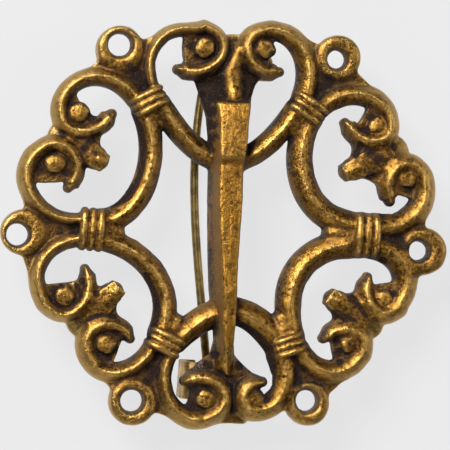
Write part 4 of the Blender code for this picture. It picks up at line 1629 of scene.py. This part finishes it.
class WireTree:
    """A tree that sweeps a round wire along a line of points, each with its own thickness."""

    def __init__(self, name: str) -> None:
        """Builds the tree with its named inputs.

        Args:
            name: the tree's name.
        """
        self.tree = bpy.data.node_groups.new(name, "GeometryNodeTree")
        face = self.tree.interface
        face.new_socket("Geometry", in_out="INPUT", socket_type="NodeSocketGeometry")
        self.radius = face.new_socket("Wire radius", in_out="INPUT", socket_type="NodeSocketFloat")
        self.sides = face.new_socket("Wire sides", in_out="INPUT", socket_type="NodeSocketInt")
        self.finish = face.new_socket("Finish", in_out="INPUT", socket_type="NodeSocketMaterial")
        face.new_socket("Geometry", in_out="OUTPUT", socket_type="NodeSocketGeometry")
        start = self.tree.nodes.new("NodeGroupInput")
        end = self.tree.nodes.new("NodeGroupOutput")
        curve = self._node("GeometryNodeMeshToCurve", {"Mesh": start.outputs[0]})
        thickness = self._node("GeometryNodeInputNamedAttribute", {"Name": "thickness"})
        share = thickness.outputs["Attribute"]
        sized = self._node("GeometryNodeSetCurveRadius", {"Curve": curve.outputs[0], "Radius": share})
        round_wire = {"Resolution": start.outputs[2], "Radius": start.outputs[1]}
        ring = self._node("GeometryNodeCurvePrimitiveCircle", round_wire)
        along = {"Curve": sized.outputs[0], "Profile Curve": ring.outputs[0], "Fill Caps": True}
        swept = self._node("GeometryNodeCurveToMesh", along)
        scale = swept.inputs.get("Scale")
        if scale is not None:
            self.tree.links.new(share, scale)
        shaded = self._node("GeometryNodeSetShadeSmooth", {"Geometry": swept.outputs[0]})
        real = self._node("GeometryNodeRealizeInstances", {"Geometry": shaded.outputs[0]})
        finish = {"Geometry": real.outputs[0], "Material": start.outputs[3]}
        dressed = self._node("GeometryNodeSetMaterial", finish)
        self.tree.links.new(dressed.outputs[0], end.inputs[0])

    def _node(self, kind: str, inputs: dict) -> bpy.types.Node:
        """Adds a node with its inputs linked or set.

        Args:
            kind: the node's type.
            inputs: sockets or values for its inputs, by name.

        Returns:
            The node.
        """
        made = self.tree.nodes.new(kind)
        for name, value in inputs.items():
            if isinstance(value, bpy.types.NodeSocket):
                self.tree.links.new(value, made.inputs[name])
            else:
                made.inputs[name].default_value = value
        return made

    def sweep(
        self,
        name: str,
        points: Sequence[Vector],
        thickness: Sequence[float],
        radius: float,
        sides: int,
        finish: bpy.types.Material,
    ) -> bpy.types.Object:
        """Makes a wire.

        Args:
            name: the object's name.
            points: the wire's centre line, in metres.
            thickness: its share of the full radius at each point.
            radius: its full radius, in metres.
            sides: facets round it.
            finish: its material.

        Returns:
            The wire as a plain mesh.
        """
        line = bpy.data.meshes.new(name)
        line.from_pydata([tuple(p) for p in points], [(i, i + 1) for i in range(len(points) - 1)], [])
        line.attributes.new("thickness", "FLOAT", "POINT").data.foreach_set("value", list(thickness))
        obj = new_object(name, line)
        modifier = obj.modifiers.new("Wire", "NODES")
        modifier.node_group = self.tree
        modifier[self.radius.identifier] = radius
        modifier[self.sides.identifier] = sides
        modifier[self.finish.identifier] = finish
        return plain_mesh(obj)


@dataclass
class PinWire:
    """The pin: a wire coiled round its rivet, then a bowed shank to a tapered point."""

    wire: float = 0.53 * MM
    rivet: float = 0.6 * MM
    play: float = 0.15 * MM
    turns: int = 5
    pitch: float = 1.14 * MM
    hinge_y: float = 20.4 * MM
    hinge_z: float = 2.1 * MM
    top_x: float = -1.6 * MM
    tip: Point = (-0.7 * MM, -21.2 * MM)
    handles: Point = (-4.9 * MM, -1.75 * MM)
    tip_rise: float = 0.55 * MM
    point_length: float = 4.0 * MM
    per_turn: int = 28
    shank_steps: int = 60
    sides: int = 16

    def line(self) -> tuple[list[Vector], list[float]]:
        """Centre line of the wire: the coil first, then the shank to its point.

        Returns:
            The line's points in metres, and a share of the full thickness for each.
        """
        coil = self.rivet + self.play + self.wire
        points: list[Vector] = []
        shares: list[float] = []
        steps = self.turns * self.per_turn
        for i in range(steps + 1):
            angle = 2.0 * math.pi * (i - steps) / self.per_turn - math.pi / 2.0
            x = self.top_x + self.pitch * (steps - i) / self.per_turn
            y, z = self.hinge_y - coil * math.cos(angle), self.hinge_z + coil * math.sin(angle)
            points.append(Vector((x, y, z)))
            shares.append(1.0)
        start = points[-1]
        tip = Vector((self.tip[0], self.tip[1], start.z + self.tip_rise))
        third = (tip.y - start.y) / 3.0
        a = Vector((self.handles[0], start.y + third, start.z))
        b = Vector((self.handles[1], tip.y - third, start.z))
        for i in range(1, self.shank_steps + 1):
            t = i / self.shank_steps
            s = 1.0 - t
            point = start * s**3 + a * 3 * s * s * t + b * 3 * s * t * t + tip * t**3
            points.append(point)
            shares.append(max(0.12, min(1.0, (tip - point).length / self.point_length) ** 0.7))
        return points, shares

    def build(self, tree: WireTree, finish: bpy.types.Material) -> bpy.types.Object:
        """Sweeps the pin.

        Args:
            tree: the tree that sweeps it.
            finish: its material.

        Returns:
            The pin.
        """
        points, shares = self.line()
        return tree.sweep("pin_wire", points, shares, self.wire, self.sides, finish)


@dataclass
class SoftEdged:
    """A sheet or turned fitting that keeps its solid's form, with its edges eased and rounded."""

    node: str
    name: str
    edge: float
    angle: float = 25.0
    segments: int = 3
    weld: float = 0.002 * MM
    coplanar: float = 1.0

    def build(self, source: bpy.types.Object, finish: bpy.types.Material) -> bpy.types.Object:
        """Makes the fitting from its solid's own faces.

        Args:
            source: the solid.
            finish: its material.

        Returns:
            The fitting.
        """
        bm = bmesh.new()
        bm.from_mesh(source.data)
        bmesh.ops.remove_doubles(bm, verts=bm.verts, dist=self.weld)
        limit = math.radians(self.coplanar)
        bmesh.ops.dissolve_limit(bm, angle_limit=limit, verts=bm.verts, edges=bm.edges)
        bmesh.ops.recalc_face_normals(bm, faces=bm.faces)
        mesh = bpy.data.meshes.new(self.name)
        bm.to_mesh(mesh)
        bm.free()
        obj = new_object(self.name, mesh, finish)
        bevel = obj.modifiers.new("Eased edges", "BEVEL")
        bevel.width = self.edge
        bevel.segments = self.segments
        bevel.limit_method = "ANGLE"
        bevel.angle_limit = math.radians(self.angle)
        plain_mesh(obj)
        shade_smooth(obj.data)
        return obj


# Studio


@dataclass
class Studio:
    """A pale floor, soft lights and the camera at the photograph's angle."""

    target: Place = (0.0, 0.0, 0.0076)
    aside: float = 8.5
    distance: float = 0.3
    lens: float = 193.2
    roll: float = 1.3
    floor_size: float = 1.5
    air: Colour = (0.93, 0.95, 1.0)
    air_strength: float = 0.08

    def camera(self) -> None:
        """Places the camera."""
        data = bpy.data.cameras.new("camera")
        data.lens = self.lens
        data.sensor_width = 36.0
        data.clip_start = 0.01
        camera = bpy.data.objects.new("camera", data)
        bpy.context.scene.collection.objects.link(camera)
        lean = math.radians(self.aside)
        place = Vector(self.target) + Vector((-math.sin(lean), 0.0, math.cos(lean))) * self.distance
        turn = Matrix.Rotation(-lean, 4, "Y") @ Matrix.Rotation(math.radians(self.roll), 4, "Z")
        camera.matrix_world = Matrix.Translation(place) @ turn
        bpy.context.scene.camera = camera

    def floor(self) -> None:
        """Lays the pale floor."""
        bm = bmesh.new()
        bmesh.ops.create_grid(bm, x_segments=1, y_segments=1, size=self.floor_size)
        mesh = bpy.data.meshes.new("floor")
        bm.to_mesh(mesh)
        bm.free()
        s = Shader("floor_paper")
        finish = s.dress(
            Base_Color=(0.06, 0.06, 0.06),
            Roughness=0.9,
            Emission_Color=(0.995, 0.995, 1.0),
            Emission_Strength=0.74,
        )
        new_object("floor", mesh, finish)

    def light(self, name: str, place: Place, size: float, power: float) -> None:
        """Hangs one soft light, turned to the brooch.

        Args:
            name: its name.
            place: where it hangs, in metres.
            size: its width, in metres.
            power: its power, in watts.
        """
        data = bpy.data.lights.new(name, "AREA")
        data.shape = "DISK"
        data.size = size
        data.energy = power
        lamp = bpy.data.objects.new(name, data)
        lamp.location = place
        lamp.rotation_euler = (-Vector(place)).to_track_quat("-Z", "Y").to_euler()
        bpy.context.scene.collection.objects.link(lamp)

    def build(self) -> None:
        """Sets up the whole studio."""
        self.camera()
        self.floor()
        self.light("key_light", (-0.3, 0.35, 0.5), 0.36, 6.8)
        self.light("side_light", (0.5, 0.1, 0.35), 0.25, 0.9)
        self.light("low_light", (-0.1, -0.5, 0.35), 0.3, 0.6)
        world = bpy.data.worlds.new("studio_air")
        world.use_nodes = True
        air = world.node_tree.nodes["Background"]
        air.inputs["Color"].default_value = (*self.air, 1.0)
        air.inputs["Strength"].default_value = self.air_strength
        bpy.context.scene.world = world
        bpy.context.scene.view_settings.view_transform = "Standard"


def main() -> None:
    """Loads the frame, builds each piece in turn and sets up the studio."""
    logging.basicConfig(level=logging.INFO, format="%(message)s")
    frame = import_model()
    nodes = frame["nodes"]
    sheet = DullMetal("tarnished_sheet", (0.62, 0.43, 0.17), (0.30, 0.19, 0.08), 0.34).material()
    wire = DullMetal("drawn_wire", (0.34, 0.24, 0.085), (0.13, 0.088, 0.034), 0.3, 0.12).material()
    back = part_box("brooch_body")[0].z

    casting = Casting(back).build(WornCasting().material())
    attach(casting, Body.BROOCH.value)
    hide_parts("brooch_body")

    pin = PinWire().build(WireTree("swept_wire"), wire)
    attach(pin, Body.PIN_ARM.value)
    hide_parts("pin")
    log.info("pin: %d faces", len(pin.data.polygons))

    fittings = (
        (SoftEdged("hinge_bracket", "folded_bracket", 0.12 * MM), sheet, Slot.SHEET),
        (SoftEdged("catch", "folded_catch", 0.12 * MM), sheet, Slot.SHEET),
        (SoftEdged("hinge_rivet", "headed_rivet", 0.1 * MM, 30.0), wire, Slot.WIRE),
    )
    for fitting, finish, slot in fittings:
        piece = fitting.build(nodes[fitting.node], finish)
        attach(piece, Body.BROOCH.value)
        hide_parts(fitting.node)
        log.info("%s: %d faces", fitting.name, len(piece.data.polygons))

    Studio().build()


if __name__ == "__main__":
    main()
